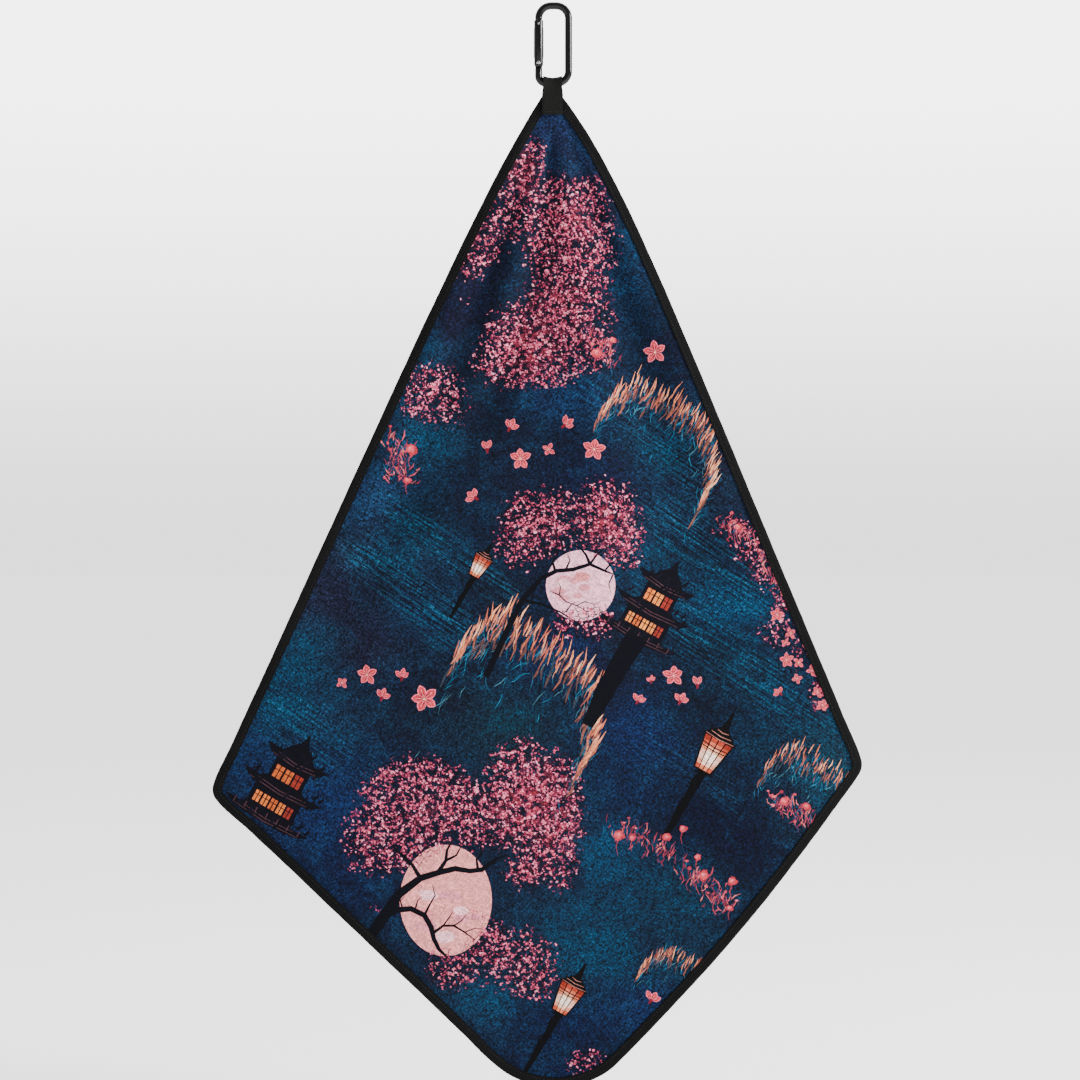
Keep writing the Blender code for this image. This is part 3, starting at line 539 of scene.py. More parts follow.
def smooth_loop(points: Array, step: float, fineness: int = 24) -> Array:
    """Smooth closed curve through the points, in even steps."""
    before, after = np.roll(points, 1, axis=0), np.roll(points, -1, axis=0)
    gap_before = np.hypot(*(points - before).T)[:, None]
    gap_after = np.hypot(*(after - points).T)[:, None]
    slope = ((points - before) / gap_before * gap_after + (after - points) / gap_after * gap_before)
    slope /= gap_before + gap_after
    next_slope = np.roll(slope, -1, axis=0)
    pieces = []
    for t in np.arange(fineness) / fineness:
        pieces.append((2 * t**3 - 3 * t**2 + 1) * points + (t**3 - 2 * t**2 + t) * gap_after * slope
                      + (3 * t**2 - 2 * t**3) * after + (t**3 - t**2) * gap_after * next_slope)
    return even_steps(np.stack(pieces, axis=1).reshape(-1, 2), step)


def inset(points: Array, distance: float) -> Array:
    """The closed outline moved inwards, square to itself."""
    return points + inward(points) * distance


def inward(points: Array) -> Array:
    """Unit vectors that point into the closed outline."""
    ahead = np.roll(points, -1, axis=0) - np.roll(points, 1, axis=0)
    ahead /= np.hypot(*ahead.T)[:, None]
    x, z = points.T
    area = np.sum(x * np.roll(z, -1) - np.roll(x, -1) * z)
    return np.column_stack([-ahead[:, 1], ahead[:, 0]]) * np.sign(area)


def inside(points: Array, outline: Array) -> Array:
    """Which points lie within the closed outline."""
    result = np.zeros(len(points), dtype=bool)
    x, z = points.T
    for (x0, z0), (x1, z1) in zip(outline, np.roll(outline, -1, axis=0)):
        if z0 != z1:
            crosses = ((z0 > z) != (z1 > z)) & (x < (x1 - x0) * (z - z0) / (z1 - z0) + x0)
            result ^= crosses
    return result


@dataclass(frozen=True)
class Crease:
    """A soft ridge, or a valley if its height is negative, along a line on the cloth."""

    start: Point
    end: Point
    half_width: float
    height: float

    def rise(self, x: Array, z: Array) -> Array:
        """Height of the crease at each point; all its own sizes are in millimetres."""
        start, end = np.array(self.start) * MM, np.array(self.end) * MM
        span = end - start
        length = np.hypot(*span)
        along = ((x - start[0]) * span[0] + (z - start[1]) * span[1]) / length**2
        aside = ((x - start[0]) * span[1] - (z - start[1]) * span[0]) / length
        ends = smoothstep(-0.15, 0.25, along) * smoothstep(1.15, 0.75, along)
        return self.height * MM * ends * np.exp(-(aside / (self.half_width * MM)) ** 2)


@dataclass
class Drape:
    """How the cloth hangs: folds that fan out from the gathered corner, a belly and slow waves."""

    fold_lead: float = 12.0 * MM
    fold_height: float = 0.046
    fold_reach: float = 300.0 * MM
    flat_length: float = 22.0 * MM
    belly: float = 12.0 * MM
    half_span: float = 240.0 * MM
    wave_height: float = 5.0 * MM
    wave_length: float = 310.0 * MM
    wave_slant: float = 0.35
    wave_start: float = 180.0 * MM
    wave_full: float = 520.0 * MM
    lean_length: float = 285.0 * MM
    lean_power: float = 1.6
    # centre, half width and height of each fold across the fan, and how far it leans lower down
    folds: Table = (
        (-0.43, 0.07, 0.5, 0.00), (-0.31, 0.08, -0.7, -0.06), (-0.17, 0.07, 0.9, -0.10),
        (-0.03, 0.07, -1.0, -0.24), (0.13, 0.09, 0.9, -0.02), (0.29, 0.08, -0.6, 0.00),
        (0.42, 0.08, 0.5, 0.00),
    )
    creases: tuple[Crease, ...] = (
        Crease((-88, -226), (-22, -180), 9.0, -1.6),
        Crease((-96, -262), (-20, -206), 14.0, 1.6),
        Crease((-70, -330), (-38, -236), 16.0, -2.0),
        Crease((-120, -300), (-60, -196), 12.0, 1.4),
        Crease((60, -330), (26, -236), 18.0, 1.5),
        Crease((-150, -470), (20, -372), 22.0, 1.0),
        Crease((-40, -560), (150, -470), 30.0, 1.2),
        Crease((-170, -640), (60, -690), 32.0, 1.2),
    )

    def __post_init__(self) -> None:
        """Read the corner's height from the frame."""
        self.corner_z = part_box("edge_binding")[1].z

    def depth(self, x: Array, z: Array) -> Array:
        """Y of the middle of the cloth at each point."""
        below = np.maximum(0.0, self.corner_z - z)
        fan = x / (below + self.fold_lead)
        lean = (below / self.lean_length) ** self.lean_power
        height = self.fold_height * below * np.exp(-(below / self.fold_reach) ** 2)
        height *= smoothstep(self.flat_length, 2.5 * self.flat_length, below)
        folds = sum(rise * np.exp(-((fan - centre - drift * lean) / width) ** 2)
                    for centre, width, rise, drift in self.folds)
        phase = 2 * math.pi * (x + self.wave_slant * below) / self.wave_length
        wave = self.wave_height * np.sin(phase) * smoothstep(self.wave_start, self.wave_full, below)
        soft = sum(crease.rise(x, z) for crease in self.creases)
        return self.belly * (x / self.half_span) ** 2 - height * folds - wave - soft

    def lifted(self, points: Array, rise: Union[float, Array]) -> Array:
        """Points in space over (x, z) rows, raised from the middle of the cloth towards the viewer.

        Args:
            points: (x, z) rows in metres.
            rise: how far, square to the cloth; positive is the printed side.

        Returns:
            (x, y, z) rows.
        """
        x, z = points.T
        step = 0.5 * MM
        middle = self.depth(x, z)
        slope_x = (self.depth(x + step, z) - self.depth(x - step, z)) / (2 * step)
        slope_z = (self.depth(x, z + step) - self.depth(x, z - step)) / (2 * step)
        normal = np.column_stack([slope_x, -np.ones_like(x), slope_z])
        normal /= np.linalg.norm(normal, axis=1)[:, None]
        return np.column_stack([x, middle, z]) + normal * np.reshape(rise, (-1, 1))


# --- print ---
TILT = math.radians(-29)      # the printed scene's own upright leans this far clockwise


class Ply(Enum):
    """Which pass of the print a mark belongs to."""

    BEHIND = "behind"         # under the blossom flecks
    FRONT = "front"           # over them


@dataclass(frozen=True)
class Mark:
    """A patch of one ink: its outline in millimetres on the cloth."""

    outline: tuple[Point, ...]
    ink: Colour
    ply: Ply


@dataclass(frozen=True)
class Stencil:
    """Where a motif goes: its centre in millimetres, its turn and its size."""

    at: Point
    turn: float = TILT
    size: float = 1.0

    def __call__(self, points: Iterable[Point]) -> list[Point]:
        """The motif's own points placed on the cloth."""
        c, s = math.cos(self.turn) * self.size, math.sin(self.turn) * self.size
        return [(self.at[0] + c * u - s * v, self.at[1] + s * u + c * v) for u, v in points]


def oval(across: float, down: float, centre: Point = (0, 0), steps: int = 16) -> list[Point]:
    """Points of an ellipse."""
    turns = [2 * math.pi * i / steps for i in range(steps)]
    return [(centre[0] + across * math.cos(t), centre[1] + down * math.sin(t)) for t in turns]


def petal(turn: float, length: float, width: float, start: float = 0.0) -> list[Point]:
    """A petal that grows from the centre, narrow at its foot and pointed at its tip."""
    shape = [(0.0, 0.12), (0.22, 0.62), (0.48, 1.0), (0.72, 0.86), (0.9, 0.4)]
    right = [(start + length * along, width / 2 * share) for along, share in shape]
    tip = [(start + length, 0.0)]
    left = [(along, -aside) for along, aside in reversed(right)]
    c, s = math.cos(turn), math.sin(turn)
    return [(c * u - s * v, s * u + c * v) for u, v in reversed(right + tip + left)]


def ribbon(path: Sequence[Point], widths: Sequence[float]) -> list[Point]:
    """A stroke along a path with a width at each of its points."""
    sides: tuple[list[Point], list[Point]] = ([], [])
    for i, (x, z) in enumerate(path):
        before, after = path[max(0, i - 1)], path[min(len(path) - 1, i + 1)]
        dx, dz = after[0] - before[0], after[1] - before[1]
        length = math.hypot(dx, dz) or 1.0
        half = widths[i] / 2
        sides[0].append((x - dz / length * half, z + dx / length * half))
        sides[1].append((x + dz / length * half, z - dx / length * half))
    return sides[0] + sides[1][::-1]


class NightGarden:
    """The print: moons, trees, lanterns, small towers, grasses and flowers on dark water."""

    SEED = 11
    BASE = dye("1a3048")
    # x, z, half width, half height in millimetres, colour and strength of each wash; the dark one at (-56,
    # -292) is painted shade of the fold valley below the corner
    WASHES_AND_FOLD_SHADE: Table = (
        (0, -85, 32, 26, "2c3a5c", 0.9), (30, -120, 26, 30, "2a3a58", 0.8),
        (66, -190, 26, 52, "194a66", 0.75), (92, -245, 34, 42, "14233c", 0.8),
        (-62, -200, 22, 22, "2b2744", 0.8), (-78, -236, 26, 24, "242440", 0.9),
        (-98, -262, 22, 20, "1d4a63", 0.9), (-56, -292, 30, 44, "122439", 0.8),
        (10, -292, 34, 18, "21476a", 0.8), (-95, -322, 26, 28, "1d5169", 0.9),
        (-30, -344, 40, 26, "1f2a42", 0.8), (40, -352, 46, 24, "20294a", 0.8),
        (88, -332, 32, 24, "124055", 0.85), (126, -352, 24, 34, "27243a", 0.9),
        (-132, -368, 26, 22, "2b4c6c", 0.8), (-96, -384, 30, 24, "14374a", 0.7),
        (-156, -408, 20, 18, "2c2a40", 0.9), (-120, -410, 40, 16, "29566f", 0.7),
        (-168, -452, 46, 32, "33324a", 0.95), (-140, -478, 42, 26, "2c2f46", 0.9),
        (-96, -455, 30, 22, "1a3a54", 0.8), (-40, -440, 30, 24, "1b2136", 0.8),
        (62, -410, 26, 26, "1a5069", 0.9), (96, -416, 30, 24, "123247", 0.8),
        (140, -452, 40, 24, "15516d", 0.9), (112, -480, 34, 22, "0f2236", 0.8),
        (46, -484, 18, 34, "221f30", 0.85), (8, -484, 30, 18, "22355c", 0.85),
        (-190, -484, 26, 30, "225169", 0.9), (-206, -522, 30, 24, "1b5069", 0.9),
        (-164, -534, 46, 18, "265069", 0.8), (-112, -536, 42, 22, "1e2a3e", 0.85),
        (-72, -512, 26, 24, "1d2236", 0.8), (-34, -540, 40, 30, "1c4350", 0.8),
        (66, -545, 34, 30, "1c3660", 0.85), (112, -522, 30, 22, "152034", 0.8),
        (150, -500, 30, 20, "1b4a60", 0.7), (168, -548, 34, 24, "17394e", 0.8),
        (206, -570, 30, 34, "24505f", 0.8), (-232, -560, 22, 26, "1f3e60", 0.9),
        (-176, -600, 60, 44, "213f68", 0.9), (-150, -650, 40, 32, "1b2f52", 0.9),
        (-206, -600, 26, 14, "1f2a4a", 0.5), (36, -578, 26, 24, "17304c", 0.8),
        (36, -632, 34, 30, "1a4e68", 0.95), (58, -590, 26, 20, "1b3454", 0.8),
        (112, -606, 34, 22, "151f3c", 0.9), (146, -632, 34, 40, "151c3a", 0.95),
        (98, -664, 40, 26, "1b4358", 0.9), (2, -672, 40, 22, "1c3c52", 0.8),
        (30, -708, 50, 34, "1a4f67", 0.9), (104, -722, 34, 22, "1c4356", 0.8),
        (-48, -742, 30, 26, "1d4f68", 0.9), (10, -764, 40, 22, "182c50", 0.85),
        (70, -752, 36, 22, "213a60", 0.85), (22, -800, 60, 20, "1c3052", 0.9),
        (-92, -640, 30, 30, "132038", 0.6), (196, -610, 30, 20, "1c3a4c", 0.8),
    )
    # ends, half width and strength of each band of brush streaks
    BANDS: Table = (
        (-140, -362, -20, -448, 12, 0.8), (-162, -398, -52, -476, 15, 1.0),
        (-240, -500, -150, -570, 22, 0.65), (6, -262, 130, -368, 18, 0.55), (60, -362, 170, -452, 26, 0.75),
        (54, -430, 216, -540, 22, 0.75), (60, -540, 150, -600, 16, 0.35), (-120, -440, -40, -520, 14, 0.4),
        (-200, -540, -110, -590, 14, 0.35),
    )
    # x, z, half width, half height and fill of each blossom cloud
    CLOUDS: Table = (
        (-14, -107, 9, 12, 0.62), (-24, -128, 14, 18, 0.8), (-38, -152, 14, 18, 0.66),
        (-52, -178, 14, 16, 0.62), (-62, -194, 10, 9, 0.55), (4, -143, 20, 18, 0.72),
        (16, -160, 22, 20, 0.86), (30, -138, 14, 14, 0.55), (-8, -168, 18, 22, 0.72), (12, -190, 22, 24, 0.8),
        (36, -178, 14, 22, 0.5), (8, -216, 24, 22, 0.85), (-10, -238, 28, 20, 0.9), (-26, -254, 24, 20, 0.86),
        (-38, -266, 18, 16, 0.6), (-8, -270, 26, 14, 0.72), (30, -222, 18, 20, 0.42), (34, -256, 13, 14, 0.6),
        (20, -250, 18, 16, 0.5), (-86, -290, 20, 22, 0.66), (-98, -282, 12, 12, 0.5),
        (-104, -296, 9, 10, 0.4), (-8, -386, 24, 22, 0.8), (-26, -400, 17, 18, 0.62),
        (-18, -377, 16, 11, 0.6), (6, -370, 12, 10, 0.45), (42, -384, 22, 25, 0.88), (54, -400, 12, 17, 0.66),
        (36, -366, 14, 12, 0.5), (56, -414, 9, 9, 0.42), (22, -455, 17, 7, 0.72), (10, -464, 9, 10, 0.5),
        (34, -460, 11, 12, 0.6), (168, -467, 13, 12, 0.5), (148, -400, 15, 15, 0.45), (137, -388, 16, 8, 0.5),
        (160, -420, 12, 15, 0.5), (174, -442, 9, 16, 0.6), (186, -480, 8, 14, 0.4), (202, -512, 8, 15, 0.6),
        (-122, -588, 20, 17, 0.72), (-99, -577, 27, 15, 0.76), (-130, -614, 24, 18, 0.66),
        (-92, -600, 30, 25, 0.78), (-70, -592, 17, 17, 0.7), (-114, -630, 25, 15, 0.64),
        (-142, -626, 14, 11, 0.6), (-136, -643, 17, 7, 0.45), (-58, -614, 13, 15, 0.6),
        (-18, -592, 27, 31, 0.9), (-6, -615, 24, 24, 0.9), (-32, -570, 17, 14, 0.72), (-24, -553, 12, 8, 0.4),
        (2, -586, 18, 24, 0.8), (12, -606, 10, 16, 0.6), (-38, -602, 15, 22, 0.84), (-9, -641, 21, 11, 0.56),
        (-20, -648, 15, 12, 0.6), (8, -652, 11, 11, 0.45), (11, -636, 9, 10, 0.5), (-24, -714, 25, 22, 0.68),
        (-40, -706, 11, 11, 0.5), (-12, -732, 13, 11, 0.5), (-74, -722, 19, 12, 0.62),
        (-84, -710, 9, 8, 0.45), (-52, -704, 14, 11, 0.6), (-44, -691, 9, 9, 0.55), (-62, -680, 13, 6, 0.3),
        (-132, -672, 7, 5, 0.35), (28, -790, 18, 9, 0.6), (-66, -217, 9, 6, 0.18),
    )
    # x, z, half width, half height and strength of the solid rose in the heart of a cloud
    HEARTS: Table = (
        (-22, -124, 8, 16, 0.5), (16, -160, 14, 12, 0.75), (2, -226, 16, 18, 0.7), (-18, -252, 14, 16, 0.75),
        (-2, -262, 14, 8, 0.5), (42, -386, 13, 16, 0.8), (-8, -590, 16, 20, 0.85), (-24, -600, 16, 18, 0.7),
        (0, -614, 14, 14, 0.75), (-8, -392, 12, 9, 0.4), (-92, -606, 14, 12, 0.35), (-20, -646, 9, 6, 0.3),
    )
    # x, z, radius, turn in degrees and number of petals of each loose flower
    FLOWERS: Table = (
        (77, -257, 8.2, 100, 5), (-32, -314, 7.4, 60, 3), (9, -312, 7.4, 40, 3), (-49, -330, 7.4, 96, 2),
        (-24, -337, 8.0, 90, 5), (-3, -330, 5.0, 60, 4), (31, -330, 8.4, 75, 5), (-58, -366, 7.6, 140, 3),
        (-158, -505, 4.6, 40, 4), (-139, -499, 7.6, 95, 5), (-113, -501, 6.8, 80, 3),
        (-128, -516, 7.0, 70, 3), (-96, -517, 10.2, 105, 5), (74, -504, 4.6, 90, 3), (91, -500, 7.8, 95, 5),
        (109, -507, 6.6, 88, 2), (64, -519, 6.4, 58, 3), (96, -519, 7.2, 64, 3), (169, -454, 5.4, 85, 5),
        (179, -468, 4.4, 30, 4), (175, -475, 3.4, 60, 4), (176, -488, 5.2, 95, 5), (185, -490, 4.2, 50, 4),
        (184, -502, 4.2, 20, 4), (171, -513, 5.4, 140, 3), (74, -743, 7.6, 60, 3), (199, -512, 4.6, 30, 4),
        (203, -522, 5.0, 70, 5), (195, -496, 4.2, 10, 4), (190, -479, 3.6, 80, 3),
    )
    # x, z and radius of each round bud
    BUDS: Table = (
        (98, -615, 4.0), (109, -636, 3.6), (135, -654, 4.6), (114, -650, 5.2), (133, -674, 3.2),
        (86, -621, 4.0), (-106, -330, 5.4), (-109, -353, 3.6), (174, -594, 4.6), (191, -598, 3.6),
        (50, -620, 5.2), (45, -248, 3.6), (33, -258, 5.0), (140, -388, 4.0), (60, -622, 3.4),
    )
    LANTERNS: Table = ((-54, -416, 25.0), (121, -556, 42.0), (12, -740, 36.0))
    TOWERS: Table = ((75, -450, 60.0), (-204, -585, 66.0))
    MOONS: Table = (
        (21, -432, 26.0, 26.5, "eabccb"), (-80, -668, 34.5, 42.0, "e0a3a2"))
    # left foot of each grass crest, and its width
    GRASSES: Table = (
        (36, -304, 86.0), (-74, -486, 108.0), (159, -572, 66.0), (65, -722, 64.0))
    # how far below the crest each row of plumes starts, as shares of its width, and the row's colours
    PLUMES: Table = (
        (0.08, 0.24, ("7c5a54", "96685c", "6a5858", "4c5560")),
        (0.02, 0.14, ("b87663", "a86c5b", "c98b70", "966056")),
        (-0.04, 0.08, ("d4916f", "e0a583", "c97f62", "d99a7c", "e6b798")),
    )
    BLADE_INKS = ("20708c", "2f86a0", "1a566e", "5a8794", "0a1c2a", "0e2636", "1c4a60", "38708a", "0c1f30")
    STEM_INKS = ("a84a5c", "c46472", "8c3c52", "c9807e", "5c4a68", "b4586a", "2c6680", "1d4c66", "944458")
    BARK = "101426"
    # path of each tangle of flower stems, its half width, and how many stems
    TANGLES: Table = (
        (((46, -620), (72, -624), (98, -646), (122, -664), (130, -676)), 11.0, 105),
        (((164, -596), (182, -602), (194, -614)), 9.0, 46),
        (((-124, -322), (-114, -334), (-112, -350), (-126, -350)), 9.0, 50),
        (((128, -386), (146, -396), (160, -414), (174, -440)), 9.0, 46),
        (((26, -246), (38, -258), (44, -268)), 8.0, 26),
    )
    # branches as paths with a width at each point, in millimetres
    BRANCHES: Table = (
        (((-50, -500), (-36, -470), (-23, -443), (-9, -427), (3, -421), (15, -420), (28, -416), (39, -421),
          (47, -424)), (5.0, 4.6, 4.4, 3.6, 3.2, 3.0, 2.6, 1.8, 0.6)),
        (((28, -416), (25, -409), (21, -404), (13, -400)), (2.4, 1.8, 1.2, 0.4)),
        (((2, -421), (0, -414), (4, -408), (2, -401)), (2.2, 1.6, 1.2, 0.4)),
        (((28, -416), (33, -409), (39, -404)), (2.0, 1.3, 0.4)),
        (((10, -420), (13, -413), (11, -408)), (1.6, 1.0, 0.4)),
        (((39, -421), (44, -415), (50, -412)), (1.6, 1.0, 0.4)),
        (((-23, -443), (-8, -446), (6, -452), (16, -458)), (2.4, 1.8, 1.2, 0.5)),
        (((64, -470), (50, -492), (38, -514), (26, -537)), (17, 15, 14, 9)),
        (((-2, -436), (5, -439), (10, -444), (18, -447), (27, -452)), (0.5, 1.0, 0.9, 0.8, 0.3)),
        (((5, -439), (6, -433), (4, -429)), (0.9, 0.7, 0.3)),
        (((18, -447), (24, -444), (31, -446), (38, -443)), (0.9, 0.8, 0.6, 0.3)),
        (((45, -424), (42, -431), (44, -438)), (1.2, 0.9, 0.3)),
        (((10, -452), (14, -446), (18, -444)), (1.1, 0.8, 0.3)),
        (((-146, -716), (-138, -697), (-126, -679), (-115, -663), (-99, -651), (-86, -647), (-73, -644),
          (-62, -646), (-53, -645), (-42, -637), (-33, -634)),
         (9.5, 8.5, 8.0, 6.6, 5.2, 4.4, 4.2, 3.6, 3.6, 2.4, 0.8)),
        (((-99, -651), (-105, -641), (-116, -631), (-124, -622)), (3.4, 2.4, 1.6, 0.5)),
        (((-86, -647), (-80, -638), (-79, -630), (-74, -621)), (3.4, 2.6, 1.8, 0.5)),
        (((-80, -638), (-72, -634), (-68, -626)), (2.2, 1.5, 0.5)),
        (((-56, -645), (-57, -637), (-51, -630)), (2.4, 1.6, 0.5)),
        (((-127, -681), (-117, -675), (-106, -674), (-96, -679), (-91, -688), (-89, -697), (-85, -705),
          (-77, -713)), (5.4, 4.6, 4.2, 4.2, 4.0, 3.4, 2.8, 0.7)),
        (((-96, -679), (-92, -671), (-88, -664), (-90, -656)), (2.0, 1.4, 1.0, 0.4)),
        (((-112, -675), (-114, -668), (-110, -664)), (1.5, 1.0, 0.3)),
        (((-103, -675), (-101, -668), (-98, -665)), (1.4, 0.9, 0.3)),
        (((-89, -692), (-82, -687), (-74, -687), (-66, -692), (-58, -698)), (2.4, 1.8, 1.6, 1.3, 0.5)),
        (((-82, -687), (-77, -680), (-74, -675)), (1.3, 0.9, 0.3)),
        (((-74, -687), (-68, -683), (-64, -678)), (1.2, 0.8, 0.3)),
        (((-66, -692), (-58, -689), (-52, -690)), (1.0, 0.7, 0.3)),
    )

    def __init__(self) -> None:
        """Draw every mark."""
        self.random = random.Random(self.SEED)
        self.marks: list[Mark] = []
        for moon in self.MOONS:
            self.draw_moon(*moon)
        for tower in self.TOWERS:
            self.draw_tower(*tower)
        for grass in self.GRASSES:
            self.draw_grass(*grass)
        for tangle in self.TANGLES:
            self.draw_tangle(*tangle)
        for path, widths in self.BRANCHES:
            self.add(ribbon(path, widths), self.BARK)
        for lantern in self.LANTERNS:
            self.draw_lantern(*lantern)
        for bud in self.BUDS:
            self.draw_bud(*bud)
        for flower in self.FLOWERS:
            self.draw_flower(*flower)

    def add(self, outline: Sequence[Point], ink: str, ply: Ply = Ply.FRONT) -> None:
        """Keep one mark."""
        self.marks.append(Mark(tuple(outline), dye(ink), ply))

    def stroke(self, put: Stencil, path: Sequence[Point], widths: Sequence[float], ink: str) -> None:
        """A brush stroke of a motif."""
        self.add(put(ribbon(path, widths)), ink)

    @staticmethod
    def bowed(x: float, z: float, lean: float, length: float, bend: float) -> list[Point]:
        """Foot, middle and tip of a stem that leans, and bends aside in its middle."""
        c, s = math.cos(lean), math.sin(lean)
        return [(x, z), (x + c * length * 0.5 - s * bend, z + s * length * 0.5 + c * bend),
                (x + c * length, z + s * length)]

    def draw_moon(self, x: float, z: float, across: float, down: float, ink: str) -> None:
        """A pale disc with a few faint seas, behind the branches."""
        self.add(oval(across, down, (x, z), 56), ink, Ply.BEHIND)
        for _ in range(9):
            turn = self.random.uniform(0, 2 * math.pi)
            out = self.random.uniform(0.1, 0.72)
            at = (x + across * out * math.cos(turn), z + down * out * math.sin(turn))
            size = self.random.uniform(0.08, 0.2) * across
            lobe = [(px + self.random.uniform(-1, 1) * size * 0.35, pz) for px, pz in
                    oval(size * 1.4, size * 0.8, at, 9)]
            self.add(lobe, self.random.choice(("d89ba6", "ebc0c8", "d9969a")), Ply.BEHIND)

    def draw_flower(self, x: float, z: float, radius: float, turn: float, petals: int) -> None:
        """A loose flower: five petals seen from the front, fewer from the side."""
        put = Stencil((x, z), math.radians(turn), radius * 1.08)
        spread = 360 / petals if petals > 3 else 50
        first = 0 if petals > 3 else -spread * (petals - 1) / 2
        slim = 0.62 if petals > 3 else 0.54
        for i in range(petals):
            angle = math.radians(first + spread * i + self.random.uniform(-9, 9))
            reach = self.random.uniform(0.84, 1.06)
            self.add(put(petal(angle, reach, slim)), "e28592")
            self.add(put(petal(angle, reach * 0.86, slim * 0.76, 0.05)), "cb5163")
            self.add(put(petal(angle + 0.06, reach * 0.5, slim * 0.4, 0.05)), "a3364c")
            c, s = math.cos(angle), math.sin(angle)
            vein = [(0.16 * c, 0.16 * s), (0.7 * reach * c, 0.7 * reach * s)]
            self.stroke(put, vein, (0.05, 0.02), "efa0a6")
        if petals > 3:
            self.add(put(oval(0.10, 0.10, steps=7)), "e9b8a4")
        else:
            self.add(put([(-0.38, -0.10), (0.1, -0.16), (0.1, 0.16), (-0.38, 0.08)]), "8f3046")

    def draw_bud(self, x: float, z: float, radius: float) -> None:
        """A ragged bud on a short stem."""
        radius *= 0.84
        stem = [(x, z), (x - radius * 0.5, z - radius * 2), (x - radius * 0.2, z - radius * 3.4)]
        self.add(ribbon(stem, (0.8, 0.6, 0.3)), "a04e60")
        for share, ink in ((1.0, "b9485a"), (0.74, "cf5f6c"), (0.36, "dd8088")):
            at = (x - radius * (1 - share) * 0.3, z + radius * (1 - share) * 0.3)
            ring = [(at[0] + (px - at[0]) * w, at[1] + (pz - at[1]) * w) for (px, pz), w in
                    zip(oval(radius * share, radius * share * 0.92, at, 11),
                        (self.random.uniform(0.7, 1.2) for _ in range(11)))]
            self.add(ring, ink)

    def draw_lantern(self, x: float, z: float, height: float) -> None:
        """A street lantern on its post: lit panes, dark bars, a peaked cap."""
        put = Stencil((x, z), TILT, height)
        night, iron = "0d0f1c", "17131c"
        post = [(0.01, -0.38), (0.02, -0.5), (0.0, -0.62), (0.01, -0.9), (-0.01, -1.2), (0.0, -1.5),
                (-0.02, -1.85)]
        self.stroke(put, post, (0.24, 0.14, 0.18, 0.14, 0.16, 0.12, 0.09), night)
        for v, w in ((-0.47, 0.24), (-0.72, 0.22), (-1.12, 0.2)):
            self.stroke(put, [(-w / 2, v), (w / 2, v + 0.01)], (0.035, 0.035), night)
        top, foot, low, high = 0.275, 0.155, -0.40, 0.20
        self.add(put([(-foot - 0.02, low - 0.03), (foot + 0.02, low - 0.03), (top + 0.02, high + 0.02),
                      (-top - 0.02, high + 0.02)]), iron)
        bands = (("c06a50", "d98f70"), ("dca590", "efcfbd"), ("e6c3b4", "f4e2da"), ("dfb4a4", "f0dcd2"),
                 ("cf8c70", "e2b29a"), ("b8624a", "d0846a"), ("9c4534", "b65a44"))
        panes = 4
        for row, inks in enumerate(bands):
            v0 = low + (high - low) * row / len(bands)
            v1 = low + (high - low) * (row + 1) / len(bands)
            w0 = foot + (top - foot) * row / len(bands)
            w1 = foot + (top - foot) * (row + 1) / len(bands)
            for pane in range(panes):
                a, b = 2 * pane / panes - 1, 2 * (pane + 1) / panes - 1
                self.add(put([(w0 * a, v0), (w0 * b, v0), (w1 * b, v1), (w1 * a, v1)]),
                         inks[1 if pane in (1, 2) else 0])
        for pane in range(panes + 1):
            a = 2 * pane / panes - 1
            self.stroke(put, [(foot * a, low), (top * a, high)], (0.016, 0.024), iron)
        for v, share in ((0.02, 0.7), (0.08, 0.8)):
            half = foot + (top - foot) * share + 0.01
            self.stroke(put, [(-half, v - 0.01), (0, v - 0.035), (half, v - 0.01)], (0.018,) * 3, iron)
        roof = [(-top - 0.07, high), (top + 0.07, high), (0.17, high + 0.16), (0.07, high + 0.24),
                (0.05, high + 0.36), (0.0, high + 0.62), (-0.05, high + 0.36), (-0.07, high + 0.24),
                (-0.17, high + 0.16)]
        self.add(put(roof), iron)
        for v, half in ((high + 0.035, top), (high + 0.10, 0.20), (high + 0.17, 0.11)):
            self.stroke(put, [(-half, v), (0, v - 0.025), (half, v)], (0.008, 0.016, 0.008), "b98a80")

    def draw_tower(self, x: float, z: float, width: float) -> None:
        """A two-storey garden tower with lit windows and turned-up eaves."""
        put = Stencil((x, z), TILT, width)
        dark, line = "18162a", "6e5058"
        self.add(put([(-0.30, -0.40), (0.30, -0.40), (0.30, -0.08), (0.22, 0.02), (0.22, 0.30),
                      (-0.22, 0.30), (-0.22, 0.02), (-0.30, -0.08)]), dark)
        eaves = ((0.30, 0.34, 0.17), (-0.06, 0.46, 0.15), (-0.42, 0.50, 0.12))
        for v, half, rise in eaves:
            self.add(put([(-half - 0.06, v + rise * 0.62), (-half * 0.9, v + 0.01), (-half * 0.5, v - 0.03),
                          (half * 0.5, v - 0.03), (half * 0.9, v + 0.01), (half + 0.06, v + rise * 0.62),
                          (half * 0.62, v + rise * 0.55), (half * 0.42, v + rise), (-half * 0.42, v + rise),
                          (-half * 0.62, v + rise * 0.55)]), dark)
            for step in range(2):
                drop = v - 0.015 + 0.035 * step
                reach = half * (0.86 - 0.16 * step)
                lip = [(-reach, drop + 0.03), (0, drop), (reach, drop + 0.03)]
                self.stroke(put, lip, (0.005, 0.010, 0.005), line)
            for _ in range(16):
                at = self.random.uniform(-half, half)
                base = v + rise * self.random.uniform(-0.25, 0.9)
                tuft = [(at, base), (at + 0.03, base + 0.05), (at + 0.02, base + 0.11)]
                self.stroke(put, tuft, (0.04, 0.03, 0.004), self.random.choice((dark, dark, "262036")))
